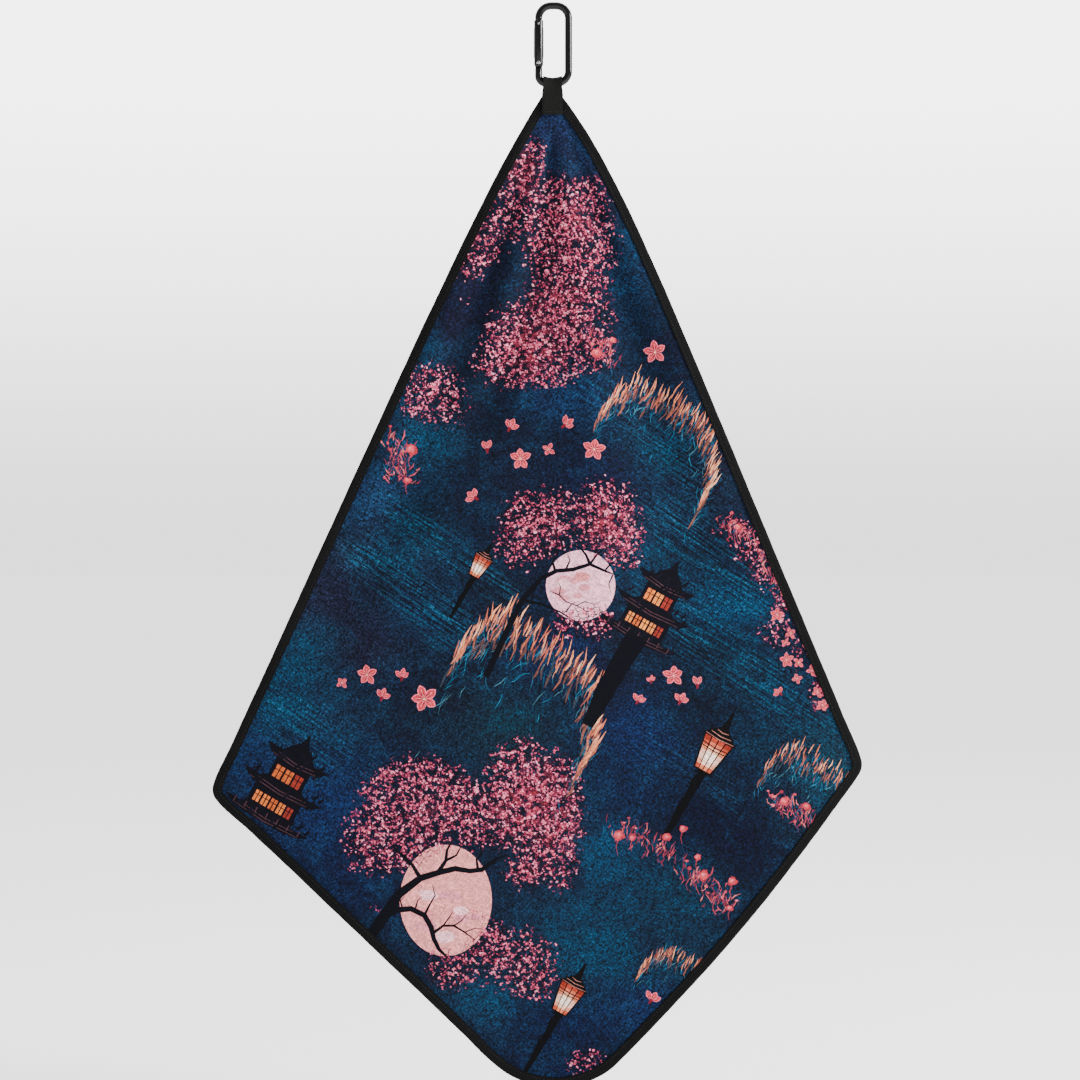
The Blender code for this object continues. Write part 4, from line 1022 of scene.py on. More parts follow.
        self.add(put([(-0.16, 0.46), (0.16, 0.46), (0.05, 0.56), (0.0, 0.70), (-0.05, 0.56)]), dark)
        for v, half, high, count in ((0.07, 0.185, 0.15, 3), (-0.28, 0.255, 0.13, 5)):
            for i in range(count):
                a = -half + 2 * half * i / count + 0.012
                b = -half + 2 * half * (i + 1) / count - 0.012
                glow = self.random.choice(("d98a48", "e2a05a", "c4743e", "d69458"))
                glow = "a04a3c" if i == count - 1 else glow
                self.add(put([(a, v), (b, v), (b, v + high), (a, v + high)]), glow)
                self.stroke(put, [((a + b) / 2, v), ((a + b) / 2, v + high)], (0.012, 0.012), dark)
                self.stroke(put, [(a, v + high * 0.62), (b, v + high * 0.62)], (0.010, 0.010), dark)
        for i in range(7):
            a = -0.42 + 0.14 * i
            self.stroke(put, [(a, -0.40), (a, -0.33)], (0.010, 0.010), line)

    def draw_grass(self, x: float, z: float, width: float) -> None:
        """A crest of seeding grass: fine blades, and plumes that lean to the upper right."""
        pick = self.random.uniform
        crest = ((0.0, 0.0), (0.14, 0.17), (0.34, 0.26), (0.52, 0.16), (0.72, 0.04), (0.90, -0.10),
                 (0.99, -0.34), (0.97, -0.60), (0.86, -0.78))

        def on_crest(t: float) -> Point:
            """Point of the crest at a share of its length."""
            place = t * (len(crest) - 1)
            i = min(int(place), len(crest) - 2)
            share = place - i
            (x0, z0), (x1, z1) = crest[i], crest[i + 1]
            return x + width * (x0 + (x1 - x0) * share), z + width * (z0 + (z1 - z0) * share)

        def blade(t: float, drop: float, length: float, lean: float, thick: float, ink: str) -> None:
            """One curved blade or plume, thickest in its middle."""
            bx, bz = on_crest(t)
            path = self.bowed(bx - drop * width * 0.45, bz - drop * width, lean, length,
                              pick(-0.12, 0.12) * length)
            self.add(ribbon(path, (thick * 0.35, thick, thick * 0.12)), ink)

        for _ in range(int(width * 4.6)):
            lean = math.radians(pick(20, 105))
            drop = abs(self.random.gauss(0, 0.18))
            blade(pick(0.02, 0.98), drop, pick(0.06, 0.14) * width, lean, pick(0.35, 0.8),
                  self.random.choice(self.BLADE_INKS))
        count = int(width * 0.56)
        for row, (low, high, inks) in enumerate(self.PLUMES):
            for i in range(count):
                t = (i + pick(-0.5, 0.5)) / count
                lean = math.radians(66 - 24 * max(0.0, t - 0.6) + pick(-10, 10))
                blade(min(1, max(0, t)), pick(low, high), pick(0.09, 0.19) * width, lean,
                      pick(0.011, 0.021) * width * (1.0, 0.95, 0.85)[row], self.random.choice(inks))
        for i in range(count):
            t = (i + pick(-0.5, 0.5)) / count
            blade(min(1, max(0, t)), pick(-0.02, 0.16), pick(0.06, 0.13) * width, math.radians(pick(45, 80)),
                  pick(0.3, 0.6), self.random.choice(("c98a74", "a0685c", "d8a58c", "7a564e")))

    def draw_tangle(self, path: Sequence[Point], half: float, count: int) -> None:
        """A tangle of coral stems and small blooms along a path."""
        pick = self.random.uniform
        for _ in range(count * 2):
            place = pick(0, len(path) - 1.001)
            (x0, z0), (x1, z1) = path[int(place)], path[int(place) + 1]
            share = place - int(place)
            x = x0 + (x1 - x0) * share + self.random.gauss(0, half * 0.48)
            z = z0 + (z1 - z0) * share + self.random.gauss(0, half * 0.42)
            stem = self.bowed(x, z, pick(0.5, 2.3), pick(3, 9), pick(-1.2, 1.2))
            self.add(ribbon(stem, (0.3, pick(0.4, 1.3), 0.2)),
                     self.random.choice(self.STEM_INKS))
            if pick(0, 1) < 0.12:
                x, z = stem[-1]
                blob = [(x + px * pick(0.6, 1.2), z + pz * pick(0.6, 1.2))
                        for px, pz in oval(pick(0.9, 1.9), pick(0.7, 1.5), steps=8)]
                self.add(blob, self.random.choice(("c4566a", "b04a5e", "d67a84")))

    def ground(self, x: Array, z: Array) -> Array:
        """Colour of the painted ground at points given in millimetres, with painted shade where one fold's
        valley runs.
        """
        colour = np.tile(np.array(self.BASE), (len(x), 1))
        for wx, wz, across, down, code, strength in self.WASHES_AND_FOLD_SHADE:
            share = strength * np.exp(-((x - wx) / across) ** 2 - ((z - wz) / down) ** 2)
            colour += share[:, None] * (np.array(dye(code)) - colour)
        return colour

    def streaks(self, x: Array, z: Array) -> Array:
        """How strongly the brush streaks show."""
        most = np.zeros_like(x)
        for x0, z0, x1, z1, half, strength in self.BANDS:
            length = math.hypot(x1 - x0, z1 - z0)
            along = ((x - x0) * (x1 - x0) + (z - z0) * (z1 - z0)) / length**2
            aside = ((x - x0) * (z1 - z0) - (z - z0) * (x1 - x0)) / length
            ends = smoothstep(-0.1, 0.2, along) * smoothstep(1.1, 0.8, along)
            most = np.maximum(most, strength * ends * np.exp(-(aside / half) ** 2))
        return most

    @staticmethod
    def lobes(table: Sequence[tuple], x: Array, z: Array) -> Array:
        """Union of rounded patches, each (x, z, half width, half height, strength)."""
        clear = np.ones_like(x)
        for lx, lz, across, down, strength in table:
            far = ((x - lx) / across) ** 2 + ((z - lz) / down) ** 2
            clear *= 1 - strength * np.exp(-0.75 * far**1.6)
        return 1 - clear


# --- mesh helpers ---
def new_piece(name: str, points: Sequence, faces: Sequence, *materials: Material,
              smooth: Optional[float] = None) -> Piece:
    """A mesh object at the origin.

    Args:
        name: the piece's plain name.
        points: its vertices.
        faces: its faces as vertex numbers.
        materials: its material slots.
        smooth: the angle over which its edges stay sharp; None shades all of it smooth.

    Returns:
        The new object, linked to the scene.
    """
    mesh = bpy.data.meshes.new(name)
    mesh.from_pydata([tuple(p) for p in points], [], faces)
    mesh.update()
    for material in materials:
        mesh.materials.append(material)
    mesh.shade_smooth()
    if smooth is not None:
        mesh.set_sharp_from_angle(angle=smooth)
    obj = bpy.data.objects.new(name, mesh)
    bpy.context.scene.collection.objects.link(obj)
    return obj


def applied(obj: Piece) -> Piece:
    """The same piece with its modifiers made part of its mesh."""
    bpy.context.view_layer.update()
    evaluated = obj.evaluated_get(bpy.context.evaluated_depsgraph_get())
    mesh = bpy.data.meshes.new_from_object(evaluated)
    obj.modifiers.clear()
    obj.data = mesh
    mesh.name = obj.name
    return obj


def outward(obj: Piece) -> Piece:
    """Merge doubles and turn the faces outwards."""
    work = bmesh.new()
    work.from_mesh(obj.data)
    bmesh.ops.remove_doubles(work, verts=work.verts, dist=0.0005 * MM)
    bmesh.ops.recalc_face_normals(work, faces=work.faces)
    work.to_mesh(obj.data)
    work.free()
    return obj


def strip_faces(rows: int, size: int, closed_rows: bool, closed: bool = True) -> list[tuple]:
    """Quads between successive rows of points."""
    faces = []
    for row in range(rows if closed_rows else rows - 1):
        for i in range(size if closed else size - 1):
            a, b = row * size + i, row * size + (i + 1) % size
            c, d = ((row + 1) % rows) * size + (i + 1) % size, ((row + 1) % rows) * size + i
            faces.append((a, b, c, d))
    return faces


def write_uv(obj: Piece, name: str, at_vertex: Array) -> None:
    """A UV map from one (u, v) for each vertex."""
    mesh = obj.data
    corners = np.empty(len(mesh.loops), dtype=np.int32)
    mesh.loops.foreach_get("vertex_index", corners)
    layer = mesh.uv_layers.new(name=name)
    layer.data.foreach_set("uv", at_vertex[corners].astype(np.float32).ravel())


# --- towel ---
@dataclass
class TowelCloth:
    """The printed microfibre, with its print worked into the mesh as patches of ink."""

    drape: Drape
    outline: Array
    thickness: float = 1.0 * MM
    edge_inset: float = 1.35 * MM
    front_pitch: float = 2.8
    back_pitch: float = 4.6
    edge_pitch: float = 2.6 * MM

    def build(self, garden: NightGarden) -> Piece:
        """Front, back and raw edge as one closed mesh.

        Args:
            garden: the print.

        Returns:
            The cloth.
        """
        edge = even_steps(inset(self.outline, self.edge_inset), self.edge_pitch) / MM
        front, triangles = self.tiled(edge, self.front_pitch, garden.marks)
        rim = self.rim_of(triangles)
        back, back_triangles = self.tiled(front[rim], self.back_pitch, [])
        match = [int(np.argmin(np.hypot(*(back - front[i]).T))) for i in rim]
        count = len(front)
        faces = triangles.tolist()
        faces += (back_triangles[:, ::-1] + count).tolist()
        for i, here in enumerate(rim):
            there = rim[(i + 1) % len(rim)]
            faces.append((there, here, match[i] + count, match[(i + 1) % len(rim)] + count))
        half = self.thickness / 2
        points = np.vstack([self.drape.lifted(front * MM, half), self.drape.lifted(back * MM, -half)])
        face_dress = PrintedMicrofibre().material()
        back_dress = ReverseMicrofibre().material()
        cloth = new_piece("microfibre_cloth", points, faces, face_dress, back_dress)
        slots = np.zeros(len(faces), dtype=np.int32)
        slots[len(triangles):] = 1
        cloth.data.polygons.foreach_set("material_index", slots)
        self.dye_ground(cloth, garden, np.vstack([front, back]))
        self.dye_marks(cloth, garden, front[triangles].mean(axis=1))
        return cloth

    @staticmethod
    def tiled(edge: Array, pitch: float, marks: Sequence[Mark]) -> tuple[Array, Array]:
        """Triangles over the outline that follow the marks' outlines, in millimetres.

        Args:
            edge: the cloth's edge.
            pitch: spacing of the points between.
            marks: patches whose outlines become edges of the mesh.

        Returns:
            Points, and triangles that face the viewer.
        """
        low, high = edge.min(axis=0), edge.max(axis=0)
        columns = np.arange(low[0], high[0], pitch)
        rows = np.arange(low[1], high[1], pitch * math.sqrt(3) / 2)
        x, z = np.meshgrid(columns, rows)
        x[1::2] += pitch / 2
        lattice = np.column_stack([x.ravel(), z.ravel()])
        lattice = lattice[inside(lattice, inset(edge, pitch * 0.6))]
        points = [Vector(p) for p in edge] + [Vector(p) for p in lattice]
        sides = [(i, (i + 1) % len(edge)) for i in range(len(edge))]
        for mark in marks:
            start, count = len(points), len(mark.outline)
            points += [Vector(p) for p in mark.outline]
            sides += [(start + i, start + (i + 1) % count) for i in range(count)]
        flat, _, tiles, _, _, _ = delaunay_2d_cdt(points, sides, [], 0, 0.004, False)
        flat = np.array([tuple(p) for p in flat])
        tiles = np.array([tile for tile in tiles if len(tile) == 3])
        tiles = tiles[inside(flat[tiles].mean(axis=1), edge)]
        a, b, c = (flat[tiles[:, i]] for i in range(3))
        turn = (b - a)[:, 0] * (c - a)[:, 1] - (b - a)[:, 1] * (c - a)[:, 0]
        tiles[turn < 0] = tiles[turn < 0][:, ::-1]
        used, index = np.unique(tiles, return_inverse=True)
        return flat[used], index.reshape(-1, 3)

    @staticmethod
    def rim_of(triangles: Array) -> list[int]:
        """Vertices round the outside, in order."""
        sides = {(t[i], t[(i + 1) % 3]) for t in triangles.tolist() for i in range(3)}
        after = {a: b for a, b in sides if (b, a) not in sides}
        start = next(iter(after))
        rim = [start]
        while after[rim[-1]] != start:
            rim.append(after[rim[-1]])
        return rim

    @staticmethod
    def dye_ground(cloth: Piece, garden: NightGarden, flat: Array) -> None:
        """Soft colours and densities at the vertices, and the cloth's UV map in metres."""
        x, z = flat.T
        mesh = cloth.data
        ground = mesh.attributes.new("ground", "FLOAT_COLOR", "POINT")
        ground.data.foreach_set("color", garden.ground(x, z).astype(np.float32).ravel())
        fields = {"streaks": garden.streaks(x, z), "blossom": garden.lobes(garden.CLOUDS, x, z),
                  "blush": garden.lobes(garden.HEARTS, x, z)}
        for name, values in fields.items():
            layer = mesh.attributes.new(name, "FLOAT", "POINT")
            layer.data.foreach_set("value", values.astype(np.float32))
        write_uv(cloth, "cloth", flat * MM)

    @staticmethod
    def dye_marks(cloth: Piece, garden: NightGarden, middles: Array) -> None:
        """Ink of the topmost mark of each pass, for the corners of each triangle of the face.

        Args:
            cloth: the cloth, whose first faces are the printed ones.
            garden: the print.
            middles: the middle of each printed triangle, in millimetres.
        """
        mesh = cloth.data
        sizes = np.empty(len(mesh.polygons), dtype=np.int32)
        mesh.polygons.foreach_get("loop_total", sizes)
        order = np.argsort(middles[:, 0])
        sorted_x = middles[order, 0]
        inks = {ply: np.zeros((len(sizes), 4), dtype=np.float32) for ply in Ply}
        for mark in garden.marks:
            ring = np.array(mark.outline)
            first, last = np.searchsorted(sorted_x, [ring[:, 0].min(), ring[:, 0].max()])
            near = order[first:last]
            z = middles[near, 1]
            near = near[(z >= ring[:, 1].min()) & (z <= ring[:, 1].max())]
            if len(near):
                inks[mark.ply][near[inside(middles[near], ring)]] = mark.ink
        for ply, colours in inks.items():
            layer = mesh.attributes.new(ply.value, "FLOAT_COLOR", "CORNER")
            layer.data.foreach_set("color", np.repeat(colours, sizes, axis=0).ravel())


@dataclass
class EdgeBinding:
    """Ribbed tape folded over the cloth's edge, dimpled where it is sewn."""

    drape: Drape
    outline: Array
    width: float = 7.6 * MM
    seam_from_edge: float = 5.6 * MM
    face: float = 1.4 * MM
    seam_dip: float = 0.14 * MM
    seam_spread: float = 0.6 * MM
    edge_wobble: float = 0.12 * MM
    puff: float = 0.06
    # (share of the width in from the outer edge, share of the face's height) down the front
    front: tuple[Point, ...] = (
        (1.0, 0.62), (0.995, 0.86), (0.97, 0.98), (0.9, 1.0), (0.82, 1.0), (0.775, 1.0), (0.737, 1.0),
        (0.70, 1.0), (0.65, 1.0), (0.52, 1.03), (0.38, 1.04), (0.24, 1.01), (0.14, 0.95), (0.07, 0.79),
        (0.025, 0.5), (0.0, 0.0),
    )
    lining: tuple[Point, ...] = ((0.99, -0.60), (0.6, -0.58), (0.2, -0.58), (0.10, -0.3), (0.085, 0.0))

    def section(self) -> list[Point]:
        """The tape's closed section, from the front leg round the fold and back inside."""
        outer = list(self.front) + [(u, -v) for u, v in reversed(self.front[:-1])]
        inner = list(self.lining) + [(u, -v) for u, v in reversed(self.lining[:-1])]
        return outer + inner

    def build(self) -> Piece:
        """Sweep the section round the towel."""
        count = len(self.outline)
        into = inward(self.outline)
        step = np.hypot(*np.diff(self.outline[:2], axis=0).T)[0]
        run = np.arange(count) * step
        pull = 0.5 + 0.5 * np.cos(2 * math.pi * run / StitchRun.SEAM["Pitch"])
        loose = self.slack(count)
        rows, uv = [], []
        along = 0.0
        section = self.section()
        for i, (share, height) in enumerate(section):
            sewn = math.exp(-((share * self.width - self.seam_from_edge) / self.seam_spread) ** 2)
            dip = self.seam_dip * sewn * (0.45 + 0.55 * pull) * np.sign(height)
            rise = height * self.face * (1 + self.puff * loose[0]) - (dip if abs(height) > 0.9 else 0.0)
            outer = (share < 0.5) * self.edge_wobble * loose[1]
            flat = self.outline + into * (share * self.width + outer)[:, None]
            rows.append(self.drape.lifted(flat, rise))
            before = section[i - 1] if i else section[0]
            along += math.hypot((share - before[0]) * self.width, (height - before[1]) * self.face)
            uv.append(np.column_stack([run, np.full(count, along)]))
        faces = strip_faces(len(rows), count, closed_rows=True)
        dress = WovenTape("binding_tape", "050505", 0.85 * MM, 0.9 * MM, 0.10).material()
        tape = new_piece("binding_tape", np.vstack(rows), faces, dress)
        write_uv(tape, "tape", np.vstack(uv))
        return outward(tape)

    @staticmethod
    def slack(count: int) -> tuple[Array, Array]:
        """Two slow wobbles round the towel, each from about -1 to 1."""
        turn = np.arange(count) * 2 * math.pi / count
        first = np.sin(37 * turn) * 0.4 + np.sin(61 * turn + 1.3) * 0.35 + np.sin(113 * turn + 0.4) * 0.25
        second = np.sin(29 * turn + 2.0) * 0.5 + np.sin(83 * turn) * 0.3 + np.sin(151 * turn + 0.9) * 0.2
        return first, second

    def seam_path(self, side: int) -> tuple[Array, Array]:
        """Where the stitches lie on one face, and which way is up there; side is 1 or -1."""
        flat = self.outline + inward(self.outline) * self.seam_from_edge
        rise = side * (self.face - self.seam_dip * 0.35)
        path = self.drape.lifted(flat, rise)
        return path, self.drape.lifted(flat, rise + side * MM) - path


class StitchRun(NodeMaker):
    """Geometry Nodes that lay stitches along a path, all in one tree."""

    KINDS = {"Pitch": "Float", "Length": "Float", "Thickness": "Float", "Slant": "Float", "Seed": "Int",
             "Thread": "Material"}
    SEAM = {"Pitch": 3.0 * MM, "Length": 2.45 * MM, "Thickness": 0.44 * MM, "Slant": 0.10, "Seed": 3}
    TACK = {"Pitch": 2.1 * MM, "Length": 1.75 * MM, "Thickness": 0.46 * MM, "Slant": 0.12, "Seed": 5}

    def __init__(self) -> None:
        """Build the tree with its named inputs."""
        super().__init__(bpy.data.node_groups.new("stitch_run", "GeometryNodeTree"))
        face = self.tree.interface
        for way in ("OUTPUT", "INPUT"):
            face.new_socket("Geometry", in_out=way, socket_type="NodeSocketGeometry")
        self.sockets = {}
        for name, kind in self.KINDS.items():
            socket = face.new_socket(name, in_out="INPUT", socket_type=f"NodeSocket{kind}")
            self.sockets[name] = socket.identifier
        given = self.node("NodeGroupInput")
        pitch, length, thickness, slant, seed, thread = (given.also(name) for name in self.KINDS)
        curve = self.node("GeometryNodeMeshToCurve", {}, {0: given})
        spaced = self.node("GeometryNodeResampleCurve", {"mode": "LENGTH"}, {"Curve": curve, "Length": pitch})
        up = self.node("GeometryNodeInputNamedAttribute", {"data_type": "FLOAT_VECTOR"}, {"Name": "up"})
        lie = self.node("FunctionNodeAlignRotationToVector", {"axis": "X"},
                        {"Vector": self.node("GeometryNodeInputTangent")})
        lift = self.node("FunctionNodeAlignRotationToVector", {"axis": "Z", "pivot_axis": "X"},
                         {"Rotation": lie, "Vector": up})
        wander = self.node("FunctionNodeRandomValue", {"data_type": "FLOAT"}, {"Seed": seed}, 1)
        lean = self.node("ShaderNodeMath", {"operation": "MULTIPLY_ADD"},
                         {0: wander, 1: slant, 2: slant * -0.5})
        spin = self.node("FunctionNodeRotateRotation", {"rotation_space": "LOCAL"},
                         {0: lift, 1: self.node("ShaderNodeCombineXYZ", {}, {"Z": lean})})
        size = self.node("ShaderNodeCombineXYZ", {}, {"X": length, "Y": thickness, "Z": thickness})
        bead = self.node("GeometryNodeMeshUVSphere", {}, {"Segments": 8, "Rings": 6, "Radius": 0.5})
        laid = self.node("GeometryNodeInstanceOnPoints", {},
                         {"Points": spaced, "Instance": bead, "Rotation": spin, "Scale": size})
        real = self.node("GeometryNodeRealizeInstances", {}, {0: laid})
        smooth = self.node("GeometryNodeSetShadeSmooth", {}, {0: real})
        dressed = self.node("GeometryNodeSetMaterial", {}, {"Geometry": smooth, "Material": thread})
        self.feed(self.tree.nodes.new("NodeGroupOutput").inputs[0], dressed)

    def sew(self, name: str, path: tuple[Array, Array], **sizes: Union[float, int, Material]) -> Piece:
        """Lay stitches along a closed path.

        Args:
            name: the piece's name.
            path: its points, and the way up at each.
            sizes: the tree's inputs by name.

        Returns:
            The stitches as one plain mesh.
        """
        points, up = path
        count = len(points)
        mesh = bpy.data.meshes.new(name)
        mesh.from_pydata(points.tolist(), [(i, (i + 1) % count) for i in range(count)], [])
        layer = mesh.attributes.new("up", "FLOAT_VECTOR", "POINT")
        layer.data.foreach_set("vector", up.astype(np.float32).ravel())
        obj = bpy.data.objects.new(name, mesh)
        bpy.context.scene.collection.objects.link(obj)
        modifier = obj.modifiers.new("stitches", "NODES")
        modifier.node_group = self.tree
        for key, value in sizes.items():
            modifier[self.sockets[key]] = value
        return applied(obj)


@dataclass
class BentWire:
    """Sizes of the carabiner's wire, which the webbing follows too."""

    wire_radius: float = 2.8 * MM
    gate_side_x: float = -10.4 * MM
    spine_side_x: float = 12.0 * MM
    gate_foot_bend: float = 5.5 * MM
    spine_foot_bend: float = 9.0 * MM


@dataclass
class HangingLoop(BentWire):
    """Ribbed webbing round the carabiner's bar, its ends sewn over the towel's corner."""

    side_gap: float = 0.5 * MM
    touch_gap: float = 0.3 * MM
    thickness: float = 1.1 * MM
    tail_offset: float = 2.85 * MM
    neck_drop: float = 9.7 * MM
    rib_pitch: float = 0.95 * MM
    rib_height: float = 0.13 * MM
    wale_height: float = 0.03 * MM
    step: float = 0.17 * MM
    columns: int = 22
    tack_half: float = 5.7 * MM
    tack_low: float = 2.2 * MM
    tack_high: float = 12.7 * MM

    def __post_init__(self) -> None:
        """Read the bar's axis and the webbing's ends from the frame."""
        low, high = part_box("hanging_loop")
        self.bar_z = PIVOTS["towel_swing"].z
        self.end_z = low.z
        self.half_width = (high.x - low.x) / 2
        self.neck_z = self.bar_z - self.neck_drop
        self.eye_half = -self.gate_side_x - self.wire_radius - self.side_gap

    def wire_height(self, x: float) -> float:
        """How far the wire's inner surface stands over the bar's axis at x, bends included."""
        left, right = self.gate_side_x + self.gate_foot_bend, self.spine_side_x - self.spine_foot_bend
        if left <= x <= right:
            return self.wire_radius
        bend, beyond = (self.gate_foot_bend, left - x) if x < left else (self.spine_foot_bend, x - right)
        return bend - math.sqrt(max(0.0, (bend - self.wire_radius) ** 2 - beyond**2))

    def side_path(self, share: float) -> Array:
        """Side profile (y, z, width share) of the webbing's middle at a share of its half width."""
        edge = max(self.wire_height(-self.eye_half), self.wire_height(self.eye_half))
        wire = self.wire_radius + (edge - self.wire_radius) * share**2
        radius = wire + self.touch_gap + self.thickness / 2
        drop = self.bar_z - self.neck_z
        length = math.hypot(self.tail_offset, drop)
        touch = math.atan2(self.tail_offset, drop) + math.acos(radius / length)
        tail = [(self.tail_offset, self.end_z, 1.0), (self.tail_offset, self.neck_z, 1.0)]
        eye = []
        for angle in np.linspace(touch, 2 * math.pi - touch, 40):
            eye.append((radius * math.sin(angle), self.bar_z - radius * math.cos(angle), 0.0))
        return np.array(tail + eye + [(-y, z, w) for y, z, w in reversed(tail)])

    def build(self) -> Piece:
        """Both faces and edges of the webbing as one closed mesh with ribs across it."""
        shares = np.sin(np.linspace(-1, 1, self.columns + 1) * math.pi / 2)
        count = None
        middles, normals, runs = [], [], []
        for share in shares:
            path = self.side_path(share)
            marks = np.concatenate([[0], np.cumsum(np.hypot(*np.diff(path[:, :2], axis=0).T))])
            count = count or round(marks[-1] / self.step)
            wanted = np.linspace(0, marks[-1], count)
            y, z, width = (np.interp(wanted, marks, path[:, i]) for i in range(3))
            width = width * width * (3 - 2 * width)
            half = self.eye_half + (self.half_width - self.eye_half) * width
            y, z = self.eased(y), self.eased(z)
            tangent = np.gradient(np.column_stack([y, z]), axis=0)
            tangent /= np.hypot(*tangent.T)[:, None]
            middles.append(np.column_stack([share * half, y, z]))
            normals.append(np.column_stack([np.zeros(count), tangent[:, 1], -tangent[:, 0]]))
            runs.append(wanted)
        rows, uv = [], []
        for side in (1, -1):
            for k in range(len(shares)) if side > 0 else reversed(range(len(shares))):
                edge = 1 - abs(shares[k]) ** 10 * 0.55
                rib = self.rib_height * np.sin(math.pi * runs[k] / self.rib_pitch) ** 2
                wale = self.wale_height * math.cos(k * math.pi)
                rise = side * (self.thickness / 2 * edge - self.rib_height + rib + wale)
                rows.append(middles[k] + normals[k] * rise[:, None])
                uv.append(np.column_stack([runs[k], middles[k][:, 0] * side]))
        faces = strip_faces(len(rows), count, closed_rows=True, closed=False)
        faces.append(tuple(k * count for k in range(len(rows))))
        faces.append(tuple(k * count + count - 1 for k in reversed(range(len(rows)))))
        dress = WovenTape("loop_webbing", "0e0e0b", self.rib_pitch, 0.75 * MM, 0.16).material()
        loop = new_piece("webbing_loop", np.vstack(rows), faces, dress, smooth=math.radians(70))
        write_uv(loop, "tape", np.vstack(uv))
        return outward(loop)

    @staticmethod
    def eased(values: Array, reach: int = 7) -> Array:
        """The values with their corners rounded and their ends kept."""
        weights = np.hanning(2 * reach + 3)[1:-1]
        weights /= weights.sum()
        padded = np.concatenate([2 * values[0] - values[reach:0:-1], values,
                                 2 * values[-1] - values[-2:-reach - 2:-1]])
        return np.convolve(padded, weights, mode="valid")

    def tack_path(self, side: int) -> tuple[Array, Array]:
        """Box of stitching on one face of the ends; side is 1 for the front."""
        low, high = self.end_z + self.tack_low, self.end_z + self.tack_high
        corners = [(-self.tack_half, low), (self.tack_half, low), (self.tack_half, high),
                   (-self.tack_half, high)]
        flat = even_steps(np.array(corners), 0.5 * MM)
        y = -side * (self.tail_offset + self.thickness / 2 - self.rib_height * 0.6)
        path = np.column_stack([flat[:, 0], np.full(len(flat), y), flat[:, 1]])
        return path, np.tile([0.0, -side * MM, 0.0], (len(flat), 1))


# --- carabiner ---
def arc(centre: Point, radius: float, start: float, end: float, step: float) -> list[Point]:
    """Points of an arc."""
    count = max(1, round(abs(end - start) / step))
    turns = [start + (end - start) * i / count for i in range(count + 1)]
    return [(centre[0] + radius * math.cos(t), centre[1] + radius * math.sin(t)) for t in turns]


def turned(name: str, profile: Sequence[Point], steps: int, centre: Vector,
           material: Optional[Material], along_y: bool = False) -> Piece:
    """A round piece from a profile of (radius, height) points that starts and ends on its axis."""
    points = [(0.0, 0.0, profile[0][1])]
    for radius, height in profile[1:-1]:
        points += [(radius * math.cos(t), radius * math.sin(t), height)
                   for t in np.arange(steps) * 2 * math.pi / steps]
    points.append((0.0, 0.0, profile[-1][1]))
    rows, last = len(profile) - 2, len(points) - 1
    faces = [(0, 1 + i, 1 + (i + 1) % steps) for i in range(steps)]
    faces += [tuple(v + 1 for v in face) for face in strip_faces(rows, steps, closed_rows=False)]
    faces += [(last, 1 + (rows - 1) * steps + (i + 1) % steps, 1 + (rows - 1) * steps + i)
              for i in range(steps)]
    if along_y:
        points = [(x, -z, y) for x, y, z in points]
    points = [Vector(p) + centre for p in points]
    obj = new_piece(name, points, faces, *([material] if material else []), smooth=math.radians(35))
    return outward(obj)


def block(name: str, low: Sequence[float], high: Sequence[float]) -> Piece:
    """A box between two corners."""
    corners = [(x, y, z) for x in (low[0], high[0]) for y in (low[1], high[1]) for z in (low[2], high[2])]
    faces = [(0, 1, 3, 2), (4, 6, 7, 5), (0, 4, 5, 1), (2, 3, 7, 6), (0, 2, 6, 4), (1, 5, 7, 3)]
    return outward(new_piece(name, corners, faces))


def slab(name: str, outline: Sequence[Point], thickness: float, centre: Vector) -> Piece:
    """A flat plate in the XZ plane with the given outline round a centre."""
    count = len(outline)
    points = [centre + Vector((x, y, z)) for y in (-thickness / 2, thickness / 2) for x, z in outline]
    faces = [tuple(range(count)), tuple(range(2 * count - 1, count - 1, -1))]
    faces += [(i, (i + 1) % count, count + (i + 1) % count, count + i) for i in range(count)]
    return outward(new_piece(name, points, faces))


def cut(obj: Piece, *changes: tuple[str, Piece]) -> Piece:
    """Join to a piece, or cut from it, other solids, which are used up."""
    for operation, other in changes:
        modifier = obj.modifiers.new(operation.lower(), "BOOLEAN")
        modifier.operation = operation
        modifier.solver = "EXACT"
        modifier.object = other
    applied(obj)
    for _, other in changes:
        bpy.data.objects.remove(other, do_unlink=True)
    return obj


def softened(obj: Piece, width: float) -> Piece:
    """Break a piece's sharp edges."""
    bevel = obj.modifiers.new("softened", "BEVEL")
    bevel.width = width
    bevel.segments = 2
    bevel.limit_method = "ANGLE"
    bevel.angle_limit = math.radians(50)
    bevel.use_clamp_overlap = True
    applied(obj)
    obj.data.shade_smooth()
    obj.data.set_sharp_from_angle(angle=math.radians(40))
    return obj


